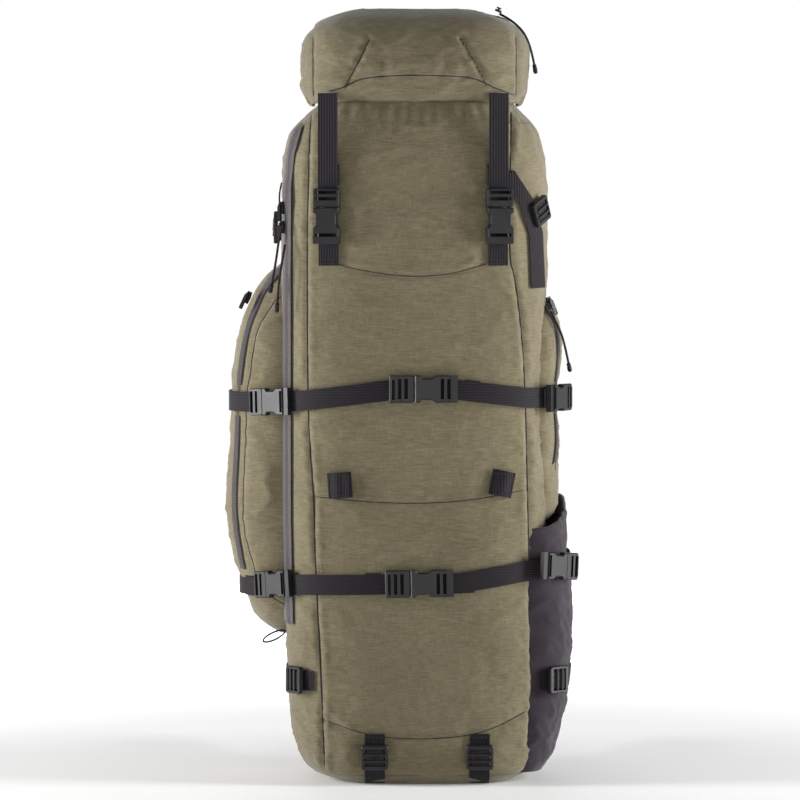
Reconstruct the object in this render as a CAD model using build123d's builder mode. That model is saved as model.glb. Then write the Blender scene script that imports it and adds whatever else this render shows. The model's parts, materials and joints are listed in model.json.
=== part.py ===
"""A tall hunting backpack: sewn bag, floating lid, pockets, compression straps, frame and harness.

The pack stands on its base at z = 0 with its outward face towards -Y and its harness towards +Y.
Lengths are millimetres. Each sewn panel, strap group, buckle half and frame part is a node of its own.
"""

from build123d import *
from math import atan2, cos, hypot, pi, radians, sin, tan
import os

os.makedirs("parts", exist_ok=True)

# ---------------------------------------------------------------- driving dimensions
WEB = 25.0  # webbing width
WEB_T = 1.8  # webbing thickness
WALL = 4.0  # bag wall with its lining
GAP = 0.5  # air left between stacked pieces
CENTRE_Y = -20.0  # the bag sections are centred here
SIDE_SEAM = 130.0  # front panel seams stand this far each side of the middle
FRONT_POWER, BACK_POWER = 3.6, 6.0  # how square the bag's section is, front and back
BASE_SEAM_Z = 16.0  # base tray meets the tall panels
PANEL_TOP_Z = 828.0
COLLAR_TOP_Z = 861.0
BOTTOM_STRAP_X = (-54.0, 77.0)
LID_STRAP_X = (-111.0, 99.0)

# Bag sections: height, centre x, half width, front reach, back reach.
BAG = [
    (0, 8, 110, 97, 114),
    (12, 4, 136, 113, 123),
    (32, 2, 150, 121, 127),
    (60, 1, 158, 126, 129),
    (105, 0, 162, 129, 130),
    (170, -2, 164, 132, 130),
    (250, -4, 166, 134, 130),
    (340, -5, 167, 135, 130),
    (440, -5, 167, 136, 130),
    (540, -5, 167, 136, 130),
    (630, -5, 167, 135, 130),
    (700, -5, 166, 134, 130),
    (755, -5, 166, 131, 130),
    (795, -5, 162, 127, 129),
    (822, -4, 153, 122, 127),
    (840, -3, 135, 118, 125),
    (856, -2, 121, 114, 121),
    (872, -2, 116, 110, 118),
]
# Pockets: height, sideways reach, half depth; each table has its centre and squareness.
LEFT_POCKET = [
    (182, 28, 38),
    (200, 52, 60),
    (225, 66, 75),
    (262, 80, 86),
    (330, 93, 91),
    (420, 90, 92),
    (510, 86, 90),
    (585, 71, 81),
    (625, 52, 64),
    (652, 26, 38),
]
LEFT_PLACE = (-150.0, 8.0, 2.6)
RIGHT_POCKET = [
    (378, 34, 62),
    (394, 41, 82),
    (425, 44, 92),
    (485, 41, 94),
    (545, 46, 93),
    (578, 43, 84),
    (600, 32, 66),
    (616, 20, 46),
]
RIGHT_PLACE = (135.0, -12.0, 3.6)
SLEEVE = [
    (13, 34, 90),
    (32, 43, 96),
    (62, 52, 102),
    (105, 63, 107),
    (165, 69, 110),
    (235, 69, 111),
    (310, 63, 112),
    (400, 58, 110),
]
SLEEVE_PLACE = (125.0, -12.0, 3.0)
# Lid: height, half width, front reach, back reach.
LID = [
    (853, 134, 130, 122),
    (862, 138, 137, 132),
    (876, 141, 142, 138),
    (898, 143, 144, 140),
    (922, 142, 143, 140),
    (944, 133, 134, 134),
    (960, 113, 115, 117),
    (971, 78, 80, 84),
]
LID_X, LID_Y = -3.0, -22.0

nodes = {}


def keep(name, part):
    """Labels a finished node and remembers it for writing."""
    part.label = name
    nodes[name] = part


# ---------------------------------------------------------------- forms
def outline(x, y, half_width, front, back, power_front, power_back, count=36):
    """Evenly spaced points of a squarish closed outline about (x, y), from the middle of its back."""
    fine = 960
    dense = []
    for i in range(fine + 1):
        angle = 2 * pi * i / fine + pi / 2
        c, s = cos(angle), sin(angle)
        power, reach = (power_front, front) if s < 0 else (power_back, back)
        dense.append(
            (
                x + half_width * (1 if c >= 0 else -1) * abs(c) ** (2 / power),
                y + reach * (1 if s >= 0 else -1) * abs(s) ** (2 / power),
            )
        )
    steps = [hypot(b[0] - a[0], b[1] - a[1]) for a, b in zip(dense, dense[1:])]
    spacing = sum(steps) / count
    points, gone, at = [], 0.0, 0
    for k in range(count):
        while gone + steps[at] < k * spacing:
            gone += steps[at]
            at += 1
        t = (k * spacing - gone) / steps[at]
        a, b = dense[at], dense[at + 1]
        points.append((a[0] + (b[0] - a[0]) * t, a[1] + (b[1] - a[1]) * t))
    return points


def lofted(sections):
    """A solid lofted through (height, outline points) pairs."""
    with BuildPart() as form:
        for height, points in sections:
            with BuildSketch(Plane.XY.offset(height)):
                with BuildLine():
                    Spline(*points, periodic=True)
                make_face()
        loft()
    return form.part


def bag_form(grow, lift=0.0):
    """The bag's stuffed shape, grown outwards, its lowest section raised by lift."""
    return lofted(
        [
            (
                z + (lift if z == 0 else 0),
                outline(x, CENTRE_Y, w + grow, f + grow, b + grow, FRONT_POWER, BACK_POWER),
            )
            for z, x, w, f, b in BAG
        ]
    )


def pocket_form(table, place, grow):
    """A pocket's stuffed shape; its end sections close in with the growth."""
    x, y, power = place
    low, high = table[0][0], table[-1][0]
    return lofted(
        [
            (
                z + (-grow if z == low else grow if z == high else 0),
                outline(x, y, r + grow, d + grow, d + grow, power, power),
            )
            for z, r, d in table
        ]
    )


def lid_form(grow):
    low, high = LID[0][0], LID[-1][0]
    return lofted(
        [
            (
                z + (-grow if z == low else grow if z == high else 0),
                outline(LID_X, LID_Y, w + grow, f + grow, b + grow, FRONT_POWER, 4.0),
            )
            for z, w, f, b in LID
        ]
    )


def table_at(table, z):
    """A table's values at height z, on a smooth curve through its rows."""
    i = max(0, min(len(table) - 2, sum(1 for row in table if row[0] < z) - 1))

    def rate(j):
        """Slope of each column at row j: its neighbours' mean, or the end piece's own."""
        a, b = max(0, j - 1), min(len(table) - 1, j + 1)
        before = [(v - u) / (table[j][0] - table[a][0]) for u, v in zip(table[a], table[j])] if a < j else None
        after = [(v - u) / (table[b][0] - table[j][0]) for u, v in zip(table[j], table[b])] if j < b else None
        if before is None or after is None:
            return before or after
        ha, hb = table[j][0] - table[a][0], table[b][0] - table[j][0]
        return [(u * hb + v * ha) / (ha + hb) for u, v in zip(before, after)]

    low, high = table[i], table[i + 1]
    h = high[0] - low[0]
    t = max(0.0, min(1.0, (z - low[0]) / h))
    start, end = 2 * t**3 - 3 * t**2 + 1, 3 * t**2 - 2 * t**3
    leave, reach = (t**3 - 2 * t**2 + t) * h, (t**3 - t**2) * h
    return [
        p * start + q * end + m * leave + n * reach
        for p, q, m, n in zip(low, high, rate(i), rate(i + 1))
    ][1:]


def bag_outline(z, grow, count=240):
    x, w, f, b = table_at(BAG, z)
    return outline(x, CENTRE_Y, w + grow, f + grow, b + grow, FRONT_POWER, BACK_POWER, count)


def pocket_outline(table, place, z, grow, count=120):
    x, y, power = place
    r, d = table_at(table, z)
    return outline(x, y, r + grow, d + grow, d + grow, power, power, count)


def chain(points, side):
    """The convex chain of points on the front (side -1) or the back (side 1), left to right."""
    kept = []
    for p in sorted(points):
        while len(kept) > 1 and side * (
            (kept[-1][0] - kept[-2][0]) * (p[1] - kept[-2][1])
            - (kept[-1][1] - kept[-2][1]) * (p[0] - kept[-2][0])
        ) >= 0:
            kept.pop()
        kept.append(p)
    return kept


def evened(points, step):
    """Points spaced evenly along a broken line."""
    even, left = [points[0]], step
    for a, b in zip(points, points[1:]):
        run, done = hypot(b[0] - a[0], b[1] - a[1]), 0.0
        while run - done >= left:
            done += left
            even.append((a[0] + (b[0] - a[0]) * done / run, a[1] + (b[1] - a[1]) * done / run))
            left = step
        left -= run - done
    if hypot(points[-1][0] - even[-1][0], points[-1][1] - even[-1][1]) < step / 2:
        even.pop()
    return even + [points[-1]]


def taut_line(clouds, step=11.0, back_y=None):
    """The line a tight strap takes round several outlines, and round their sides to back_y."""
    points = [p for cloud in clouds for p in cloud]
    front = chain(points, -1)
    if back_y is None:
        return evened(front, step)
    rear = chain(points, 1)
    left = [p for p in rear if p[0] < 0 and p[1] < back_y]
    right = [p for p in rear if p[0] > 0 and p[1] < back_y]
    return evened(left[:0:-1] + front + right[-2::-1], step)


def line_y(line, x):
    """y on a left-to-right line at x."""
    for a, b in zip(line, line[1:]):
        if a[0] <= x <= b[0] and b[0] > a[0]:
            return a[1] + (b[1] - a[1]) * (x - a[0]) / (b[0] - a[0])
    return line[-1][1]


def seat(line, x, z, low_x, high_x, lift, tilt=0.0, flip=False):
    """A plane for hardware lying on a strap line from low_x to high_x: +x along it, +z off it."""
    ay, by = line_y(line, low_x), line_y(line, high_x)
    yaw = atan2(by - ay, high_x - low_x)
    normal = (sin(yaw), -cos(yaw))
    bulge = max(
        (px - low_x) * normal[0] + (py - ay) * normal[1]
        for px, py in line
        if low_x - 4 <= px <= high_x + 4
    )
    y = ay + (by - ay) * (x - low_x) / (high_x - low_x)
    off = max(bulge, 0) + lift
    sign = -1 if flip else 1
    t = radians(tilt)
    return Plane(
        origin=(x + normal[0] * off, y + normal[1] * off, z),
        x_dir=(sign * cos(yaw) * cos(t), sign * sin(yaw) * cos(t), sign * sin(t)),
        z_dir=(normal[0], normal[1], 0),
    )


def band(points, low, width, thick=WEB_T, plane=Plane.XY):
    """A strap: a spline in the plane given thickness, with its width along the plane's normal."""
    with BuildPart() as strap:
        with BuildSketch(plane.offset(low)):
            with BuildLine():
                Spline(*points)
            trace(line_width=thick)
        extrude(amount=width)
    return strap.part


def round_strap(line, path, hulls, width=WEB):
    """Webbing round the pack: a line in plan, cut to the path it takes seen from the front."""
    low = min(z for _, z in path) - width
    high = max(z for _, z in path) + width
    with BuildPart() as strap:
        add(band(line, low, high - low))
        with BuildSketch(Plane.XZ):
            with BuildLine():
                Polyline(*path)
            trace(line_width=width)
        extrude(amount=400, both=True, mode=Mode.INTERSECT)
        for hull in hulls:
            add(hull, mode=Mode.SUBTRACT)
    return strap.part


# ---------------------------------------------------------------- hardware
BUCKLE_W = 34.0
MALE_T, FEMALE_T = 6.4, 9.0


def slots(x_places, length=4.2, depth=20.0):
    """Cuts webbing slots across a buckle at each x."""
    with Locations(*[(x, 0, 0) for x in x_places]):
        Box(length, WEB + 2, depth, mode=Mode.SUBTRACT)


def buckle_socket(bar_slots):
    """Socket half: mouth at x = 0, waist windows at the sides, webbing bars at the far end."""
    end = 37.0 + 8.0 * bar_slots
    side = [(0, 17), (6, 17), (9, 13.2), (21, 13.2), (26, 17), (end, 17)]
    with BuildPart() as half:
        with BuildSketch():
            with BuildLine():
                Polyline(*side, *[(x, -y) for x, y in reversed(side)], close=True)
            make_face()
        extrude(amount=FEMALE_T / 2, both=True)
        for face in (half.faces().sort_by(Axis.Z)[-1], half.faces().sort_by(Axis.Z)[0]):
            chamfer(face.edges(), 1.2)
        with Locations((13, 0, 0)):
            Box(30, 28.4, 5.4, mode=Mode.SUBTRACT)
        slots([34.0 + 8.0 * i for i in range(bar_slots)])
        with Locations((end - 4, 0, FEMALE_T / 2)):
            Box(9, 40, 3.4, mode=Mode.SUBTRACT)
    return half.part


def buckle_plug(bar_slots):
    """Plug half: prongs reach from x = 0 into the socket, ladder bars lie behind."""
    back = -(8.0 + 8.0 * bar_slots)
    arm = [(-2, 9.4), (12, 9.0), (22, 10.2), (22, 12.6), (16, 13.8), (9, 13.0), (-2, 13.0)]
    with BuildPart() as half:
        with BuildSketch():
            with Locations(((back - 0.6) / 2, 0)):
                RectangleRounded(-back - 0.6, BUCKLE_W, 3)
        extrude(amount=MALE_T / 2, both=True)
        chamfer(half.faces().sort_by(Axis.Z)[-1].edges(), 1.0)
        with BuildSketch():
            with BuildLine():
                Polyline(*arm, close=True)
            make_face()
            mirror(about=Plane.XZ)
            with Locations((8, 0)):
                Rectangle(20, 7)
        extrude(amount=2.3, both=True)
        slots([back + 5.0 + 8.0 * i for i in range(bar_slots)])
        with Locations((back + 1.6, 0, MALE_T / 2 - 0.6)):
            Cylinder(1.4, WEB, rotation=(90, 0, 0))
    return half.part


def ladder_lock():
    """Webbing adjuster: a frame with three slots and two raised bars."""
    with BuildPart() as lock:
        with BuildSketch():
            RectangleRounded(32, BUCKLE_W, 4)
        extrude(amount=2.6, both=True)
        chamfer(lock.faces().sort_by(Axis.Z)[-1].edges(), 1.0)
        slots([-8.5, 0, 8.5], length=5.0)
        with Locations((-4.2, 0, 2.2), (4.2, 0, 2.2)):
            Cylinder(1.7, WEB + 3, rotation=(90, 0, 0))
    return lock.part


def zip_slider():
    """Zip slider facing +z, its pull tab hanging towards -x."""
    with BuildPart() as slider:
        with BuildSketch():
            with BuildLine():
                Polyline((8, 3), (8, -3), (1, -5.2), (-8, -4.2), (-8, 4.2), (1, 5.2), close=True)
            make_face()
        extrude(amount=3.2)
        chamfer(slider.faces().sort_by(Axis.Z)[-1].edges(), 0.7)
        with Locations((1, 0, 4.2)):
            Box(9, 2.6, 2.6)
        with BuildSketch(Plane.XY.offset(4.0)):
            with Locations((-7, 0)):
                RectangleRounded(20, 6.5, 2)
        extrude(amount=1.6)
        with Locations((-14, 0, 4.8)):
            Cylinder(1.3, 6, mode=Mode.SUBTRACT)
    return slider.part


def placed(part, *planes):
    """Copies of a hardware part on each plane, as separate solids of one node."""
    with BuildPart() as group:
        for plane in planes:
            with Locations(plane.location):
                add(part)
    return group.part


def cut_boxes(part, *boxes):
    """The part with boxes (centre, size) taken out."""
    with BuildPart() as cut:
        add(part)
        for centre, size in boxes:
            with Locations(centre):
                Box(*size, mode=Mode.SUBTRACT)
    return cut.part


# ---------------------------------------------------------------- sewn bag
def sewn_bag():
    with BuildPart() as shell:
        add(bag_form(0))
        add(bag_form(-WALL, lift=WALL), mode=Mode.SUBTRACT)
        with Locations((0, 0, COLLAR_TOP_Z + 50)):
            Box(600, 600, 100, mode=Mode.SUBTRACT)
    tall = PANEL_TOP_Z - BASE_SEAM_Z
    mid_z = BASE_SEAM_Z + tall / 2
    rim = COLLAR_TOP_Z - PANEL_TOP_Z
    blocks = {
        "front_panel": ((0, -200 + CENTRE_Y, mid_z), (2 * SIDE_SEAM, 400, tall)),
        "back_panel": ((0, 200 + CENTRE_Y, mid_z), (2 * SIDE_SEAM, 400, tall)),
        "left_side_panel": ((-SIDE_SEAM - 100, 0, mid_z), (200, 600, tall)),
        "right_side_panel": ((SIDE_SEAM + 100, 0, mid_z), (200, 600, tall)),
        "collar": ((0, 0, PANEL_TOP_Z + rim / 2), (600, 600, rim)),
    }
    for name, (centre, size) in blocks.items():
        with BuildPart() as panel:
            add(shell.part)
            with Locations(centre):
                Box(*size, mode=Mode.INTERSECT)
        keep(name, panel.part)
    # shallow channels under the base for the bottom straps
    with BuildPart() as base:
        add(shell.part)
        with Locations((0, 0, BASE_SEAM_Z / 2)):
            Box(600, 600, BASE_SEAM_Z, mode=Mode.INTERSECT)
        with Locations(*[(x, -60, 0) for x in BOTTOM_STRAP_X]):
            Box(WEB + 1, 400, 2 * (WEB_T + GAP), mode=Mode.SUBTRACT)
    keep("bottom_panel", base.part)


def pockets(clear):
    for name, table, place in (
        ("left_side_pocket", LEFT_POCKET, LEFT_PLACE),
        ("right_side_pocket", RIGHT_POCKET, RIGHT_PLACE),
    ):
        with BuildPart() as pocket:
            add(pocket_form(table, place, 0))
            add(clear, mode=Mode.SUBTRACT)
        keep(name, pocket.part)
    # open-topped stretch sleeve, its hem sloping up towards the back
    with BuildPart() as sleeve:
        add(pocket_form(SLEEVE, SLEEVE_PLACE, 0))
        add(pocket_form(SLEEVE, SLEEVE_PLACE, -2.5), mode=Mode.SUBTRACT)
        add(clear, mode=Mode.SUBTRACT)
        with BuildSketch(Plane.YZ):
            with BuildLine():
                Polyline((-130, 318), (-30, 352), (120, 358), (120, 500), (-130, 500), close=True)
            make_face()
        extrude(amount=300, both=True, mode=Mode.SUBTRACT)
    keep("stretch_pocket", sleeve.part)


def lid_bag():
    """Floating lid: a sealed pocket over a recess that covers the collar, open at the back."""
    with BuildPart() as pocket:
        add(lid_form(0))
        with BuildSketch(Plane.XY.offset(870)):
            with Locations((LID_X, LID_Y)):
                RectangleRounded(224, 220, 62)
        extrude(amount=78, mode=Mode.SUBTRACT)
        with BuildSketch(Plane.XY.offset(840)):
            with Locations((-2, -16)):
                RectangleRounded(256, 250, 44)
        extrude(amount=24, mode=Mode.SUBTRACT)
        with Locations((0, 160, 816)):
            Box(400, 200, 100, mode=Mode.SUBTRACT)
    keep("lid_pocket", pocket.part)
    with BuildPart() as tape:
        add(lid_form(GAP + 1.5))
        add(lid_form(GAP), mode=Mode.SUBTRACT)
        add(lid_form(0), mode=Mode.SUBTRACT)
        with Locations((110, -22, 963)):
            Box(100, 150, 10, mode=Mode.INTERSECT)
    keep("lid_zipper", tape.part)


# ---------------------------------------------------------------- straps, zippers and hardware
def front_plane(x, z, lift, down=False, yaw_reach=14):
    """A plane on the front panel at (x, z): +x downwards or across, +z off the pack."""
    line = taut_line([bag_outline(z, 0)], 6)
    ya, yb = line_y(line, x - yaw_reach), line_y(line, x + yaw_reach)
    yaw = atan2(yb - ya, 2 * yaw_reach)
    normal = (sin(yaw), -cos(yaw), 0)
    along = (0, 0, -1) if down else (cos(yaw), sin(yaw), 0)
    y = line_y(line, x)
    return Plane(
        origin=(x + normal[0] * lift, y + normal[1] * lift, z), x_dir=along, z_dir=normal
    )


def flat_web(plane, start, end, width=WEB):
    """A flat piece of webbing lying from start to end along the plane's x."""
    with BuildPart() as piece:
        with Locations(plane.location):
            with Locations(((start + end) / 2, 0, 0)):
                Box(end - start, width, WEB_T)
    return piece.part


def side_zipper(clear):
    """Tape of the long side zipper, following the bag's front left corner."""
    with BuildPart() as tape:
        add(bag_form(GAP + 1.6))
        add(clear, mode=Mode.SUBTRACT)
        add(pocket_form(LEFT_POCKET, LEFT_PLACE, 0.3), mode=Mode.SUBTRACT)
        with BuildSketch(Plane.XZ):
            with BuildLine():
                Polyline((-150, 826), (-160, 790), (-164, 750), (-164.5, 640), (-164.5, 330), (-162, 200))
            trace(line_width=10.5)
        extrude(amount=150, mode=Mode.INTERSECT)
        with Locations((0, 0, 400)):
            Box(400, 152, 1000, mode=Mode.SUBTRACT)
    return tape.part


def compression_straps(clear):
    """The two buckled straps round the front, each with three buckles."""
    left = pocket_form(LEFT_POCKET, LEFT_PLACE, 0.3)
    right = pocket_form(RIGHT_POCKET, RIGHT_PLACE, 0.3)
    sleeve = pocket_form(SLEEVE, SLEEVE_PLACE, 0.3)
    mid_clouds = [
        bag_outline(486, 3.0),
        pocket_outline(LEFT_POCKET, LEFT_PLACE, 481, 1.7),
        pocket_outline(RIGHT_POCKET, RIGHT_PLACE, 484, 1.7),
    ]
    low_clouds = [
        bag_outline(255, 3.0),
        pocket_outline(LEFT_POCKET, LEFT_PLACE, 247, 1.7),
        pocket_outline(SLEEVE, SLEEVE_PLACE, 270, 1.7),
    ]
    mid, low = taut_line(mid_clouds), taut_line(low_clouds)
    mid_path = [(-300, 478), (-205, 478), (-150, 481), (-20, 497), (40, 497), (140, 485), (300, 480)]
    low_path = [(-300, 244), (-200, 246), (-140, 252), (50, 255), (130, 268), (175, 273), (300, 280)]
    for name, clouds, path, parts in (
        ("mid_strap_webbing", mid_clouds, mid_path, (clear, left, right)),
        ("lower_strap_webbing", low_clouds, low_path, (clear, left, sleeve)),
    ):
        line = taut_line(clouds, back_y=92.0)
        keep(name, round_strap(line, path, parts))
    lift = WEB_T / 2 + 0.7 + FEMALE_T / 2
    seats = {
        "mid_left": (seat(mid, -189, 479, -207, -158, lift, 2), 1, 2),
        "mid_center": (seat(mid, -4, 497, -40, 50, lift), 2, 3),
        "mid_right": (seat(mid, 169, 484, 146, 177, lift, 0, flip=True), 1, 2),
        "lower_left": (seat(low, -184, 249, -204, -154, lift, 5), 1, 2),
        "lower_center": (seat(low, -9, 255, -44, 46, lift, 1), 2, 3),
        "lower_right": (seat(low, 173, 273, 146, 188, lift, -4, flip=True), 1, 2),
    }
    sockets = []
    for name, (plane, bars, ladders) in seats.items():
        sockets.append(placed(buckle_socket(bars), plane))
        keep(f"{name}_plug", placed(buckle_plug(ladders), plane))
    with BuildPart() as group:
        add(sockets)
    keep("strap_buckle_sockets", group.part)
    return {name: plane for name, (plane, _, _) in seats.items()}


def lid_straps():
    """Two upright straps from the lid down to buckles on the front panel."""
    sockets, plugs, anchors, tails = [], [], [], []
    for x in LID_STRAP_X:
        flat = front_plane(x, 722, 0, down=True)
        normal = flat.z_dir
        anchor = front_plane(x, 668, 1.5, down=True)
        anchors.append(flat_web(anchor, -30, 18))
        buckle = Plane(origin=flat.origin + normal * 9.0, x_dir=flat.x_dir, z_dir=normal)
        sockets.append(placed(buckle_socket(1), buckle))
        plugs.append(placed(buckle_plug(2), buckle))
        # the lid's webbing hangs from the lid's lower edge to the plug, close behind it
        tail = Plane(origin=buckle.origin - normal * 4.8, x_dir=flat.x_dir, z_dir=normal)
        tails.append(flat_web(tail, -142, -5))
    for name, solids in (
        ("lid_anchor_webbing", anchors),
        ("lid_buckle_sockets", sockets),
        ("lid_buckle_plugs", plugs),
        ("lid_webbing", tails),
    ):
        with BuildPart() as group:
            add(solids)
        keep(name, group.part)


def corner_straps(clear):
    """Upper and lower corner straps with their ladder locks, and the two bottom straps."""
    locks, webs = [], []
    # upper right: slants from the front seam round the corner
    with BuildPart() as web:
        add(bag_form(GAP + WEB_T))
        add(clear, mode=Mode.SUBTRACT)
        with BuildSketch(Plane.XZ):
            with BuildLine():
                Polyline((112, 764), (136, 728), (148, 690), (151, 622))
            trace(line_width=18)
        extrude(amount=160, mode=Mode.INTERSECT)
        with Locations((0, 0, 400)):
            Box(400, 60, 1000, mode=Mode.SUBTRACT)
    webs.append(web.part)
    line = taut_line([bag_outline(718, 0)], 6)
    slant = seat(line, 145, 718, 132, 156, 7.0)
    along = Vector(0.30, 0.36, -1).normalized()
    normal = slant.z_dir
    along = (along - normal * along.dot(normal)).normalized()
    locks.append(placed(ladder_lock(), Plane(origin=slant.origin, x_dir=along, z_dir=normal)))
    # upper left: on the side, behind the long zipper
    with BuildPart() as left_web:
        add(bag_form(GAP + WEB_T))
        add(clear, mode=Mode.SUBTRACT)
        with BuildSketch(Plane.YZ):
            with BuildLine():
                Line((-48, 749), (-2, 658))
            trace(line_width=WEB)
        extrude(amount=-300, mode=Mode.INTERSECT)
    webs.append(left_web.part)
    raised = Plane(origin=(-180.2, -22, 698), x_dir=(0, 0.45, -0.89), z_dir=(-1, 0, 0))
    locks.append(placed(ladder_lock(), raised))
    # lower left, across the front corner
    with BuildPart() as low:
        add(bag_form(GAP + WEB_T))
        add(clear, mode=Mode.SUBTRACT)
        with BuildSketch(Plane.XZ):
            with Locations((-152, 131)):
                Rectangle(42, WEB)
        extrude(amount=150, mode=Mode.INTERSECT)
        with Locations((0, 0, 400)):
            Box(400, 40, 1000, mode=Mode.SUBTRACT)
    webs.append(low.part)
    line = taut_line([bag_outline(131, 0)], 6)
    locks.append(placed(ladder_lock(), seat(line, -146, 131, -158, -132, 7.4)))
    # lower right, round the stretch pocket's front corner
    with BuildPart() as round_pocket:
        add(pocket_form(SLEEVE, SLEEVE_PLACE, GAP + WEB_T))
        add(pocket_form(SLEEVE, SLEEVE_PLACE, GAP), mode=Mode.SUBTRACT)
        add(clear, mode=Mode.SUBTRACT)
        with BuildSketch(Plane.XZ):
            with Locations((176, 131)):
                Rectangle(44, WEB)
        extrude(amount=150, mode=Mode.INTERSECT)
        with Locations((0, 0, 400)):
            Box(500, 40, 1000, mode=Mode.SUBTRACT)
    webs.append(round_pocket.part)
    line = taut_line([pocket_outline(SLEEVE, SLEEVE_PLACE, 131, 0)], 6)
    locks.append(placed(ladder_lock(), seat(line, 169, 131, 156, 180, 7.4)))
    with BuildPart() as group:
        add(webs)
    keep("corner_strap_webbing", group.part)
    # bottom straps: down the front, under the base in its channels
    base_clear = cut_boxes(
        bag_form(0.3), *[((x, -60, 0), (WEB + 1, 400, 2 * (WEB_T + GAP))) for x in BOTTOM_STRAP_X]
    )
    bottoms = []
    for x in BOTTOM_STRAP_X:
        side_view = Plane(origin=(x, 0, 0), x_dir=(0, 1, 0), z_dir=(1, 0, 0))
        down = [(line_y(taut_line([bag_outline(z, 0)], 6), x) - 2.2, z) for z in (66, 50, 36, 24, 14, 7)]
        under = [(down[-1][0] + 10, 2.2), (-96, 1.25), (-70, 1.25), (0, 1.25), (80, 1.25)]
        with BuildPart() as strap:
            add(band(down + under, -WEB / 2, WEB, plane=side_view))
            add(base_clear, mode=Mode.SUBTRACT)
        bottoms.append(strap.part)
        top, low_y = down[1][0], down[3][0]
        slope = Vector(0, low_y - top, -26).normalized()
        out = Vector(0, slope.Z, -slope.Y)
        place = Vector(x, (top + low_y) / 2 - 7.2, 37)
        locks.append(placed(ladder_lock(), Plane(origin=place, x_dir=slope, z_dir=out)))
    for name, solids in (("bottom_strap_webbing", bottoms), ("ladder_locks", locks)):
        with BuildPart() as group:
            add(solids)
        keep(name, group.part)


def loops():
    """Tool loops on the front panel and a small loop under the left pocket."""
    made = []
    for x, z, lean in ((-97, 377, 4), (104, 379, -12)):
        plane = front_plane(x, z, 0)
        arch = [(-15, 1.6), (-11, 2.4), (-5, 7), (0, 8.4), (5, 7), (11, 2.4), (15, 1.6)]
        flat = Plane(origin=plane.origin, x_dir=plane.x_dir, z_dir=(0, 0, 1))
        piece = band([(u, -v) for u, v in arch], -16, 32, plane=flat)
        with BuildPart() as turned:
            add(piece)
        made.append(turned.part.rotate(Axis(plane.origin, plane.z_dir), lean))
    with BuildPart() as ring:
        with BuildSketch(Plane.XZ.offset(36)):
            with Locations((-182.5, 179.3)):
                Ellipse(16, 5.5, rotation=25)
                Ellipse(14, 3.7, rotation=25, mode=Mode.SUBTRACT)
        extrude(amount=8)
        add(bag_form(GAP), mode=Mode.SUBTRACT)
        add(pocket_form(LEFT_POCKET, LEFT_PLACE, GAP), mode=Mode.SUBTRACT)
    made.append(ring.part)
    with BuildPart() as group:
        add(made)
    keep("webbing_loops", group.part)


# ---------------------------------------------------------------- frame and harness
def frame():
    back = 110.9
    with BuildPart() as stays:
        with Locations((-75, back + 2.5, 415), (75, back + 2.5, 415)):
            Box(20, 4, 830)
    keep("frame_stays", stays.part)
    with BuildPart() as bars:
        with Locations(*[(0, back + 6.4, z) for z in (205, 590, 792)]):
            Box(196, 3, 26)
    keep("frame_crossbars", bars.part)
    with BuildPart() as screws:
        with Locations(*[(x, back + 9.2, z) for x in (-75, 75) for z in (205, 590, 792)]):
            Cylinder(5, 2, rotation=(90, 0, 0))
    keep("frame_screws", screws.part)
    with BuildPart() as pads:
        with BuildSketch(Plane.XZ.offset(-(back + 11.0))):
            with Locations((-54, 462), (54, 462)):
                RectangleRounded(84, 404, 30)
        extrude(amount=-17)
        fillet(pads.faces().sort_by(Axis.Y)[-2:].edges(), 7)
    keep("back_pads", pads.part)
    with BuildPart() as lumbar:
        with BuildSketch(Plane.XZ.offset(-(back + 11.0))):
            with Locations((0, 125)):
                RectangleRounded(112, 124, 34)
        extrude(amount=-30)
        fillet(lumbar.faces().sort_by(Axis.Y)[-1:].edges(), 11)
    keep("lumbar_pad", lumbar.part)


SHOULDER_X = 76.0
SHOULDER_LINE = [
    (130, 690), (140, 732), (165, 766), (198, 752), (217, 700), (222, 630), (212, 530), (190, 420), (168, 345)
]


def harness():
    def side_plane(x):
        return Plane(origin=(x, 0, 0), x_dir=(0, 1, 0), z_dir=(1, 0, 0))

    pads, webs, locks = [], [], []
    for side in (-1, 1):
        x = side * SHOULDER_X
        pads.append(band(SHOULDER_LINE, -32, 64, 11, side_plane(x)))
        webs.append(band([(182.5, 368), (174.2, 338), (152, 280), (127, 224)], -10, 20, plane=side_plane(x)))
        webs.append(band([(120.5, 816), (140, 803), (160, 784), (171, 773.5)], -10, 20, plane=side_plane(x)))
        out = Vector(0, 0.965, -0.262)
        locks.append(
            placed(
                ladder_lock(),
                Plane(origin=Vector(x, 176.5, 367) + out * 11.4, x_dir=(0, -0.262, -0.965), z_dir=out),
            )
        )
    with BuildPart() as group:
        add(pads)
    keep("shoulder_straps", group.part)
    with BuildPart() as group:
        add(locks)
    keep("harness_ladder_locks", group.part)
    with BuildPart() as haul:
        with BuildSketch(Plane.XY.offset(781)):
            with BuildLine():
                Spline((-34, 122.5), (-30, 138), (0, 150), (30, 138), (34, 122.5))
            trace(line_width=3)
        extrude(amount=22)
    keep("haul_loop", haul.part)
    # sternum strap across the chest at z = 566
    y = 227.4
    with BuildPart() as sternum:
        with Locations((-58, y, 566), (66, y, 566)):
            Box(100, WEB_T, 20)
    webs.append(sternum.part)
    with BuildPart() as group:
        add(webs)
    keep("harness_webbing", group.part)
    chest = Plane(origin=(0, y + 6.1, 566), x_dir=(-1, 0, 0), z_dir=(0, 1, 0))
    keep("sternum_socket", placed(buckle_socket(1), chest))
    keep("sternum_plug", placed(buckle_plug(2), chest))


BELT_Y, BELT_R = 285.0, 150.0


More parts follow.
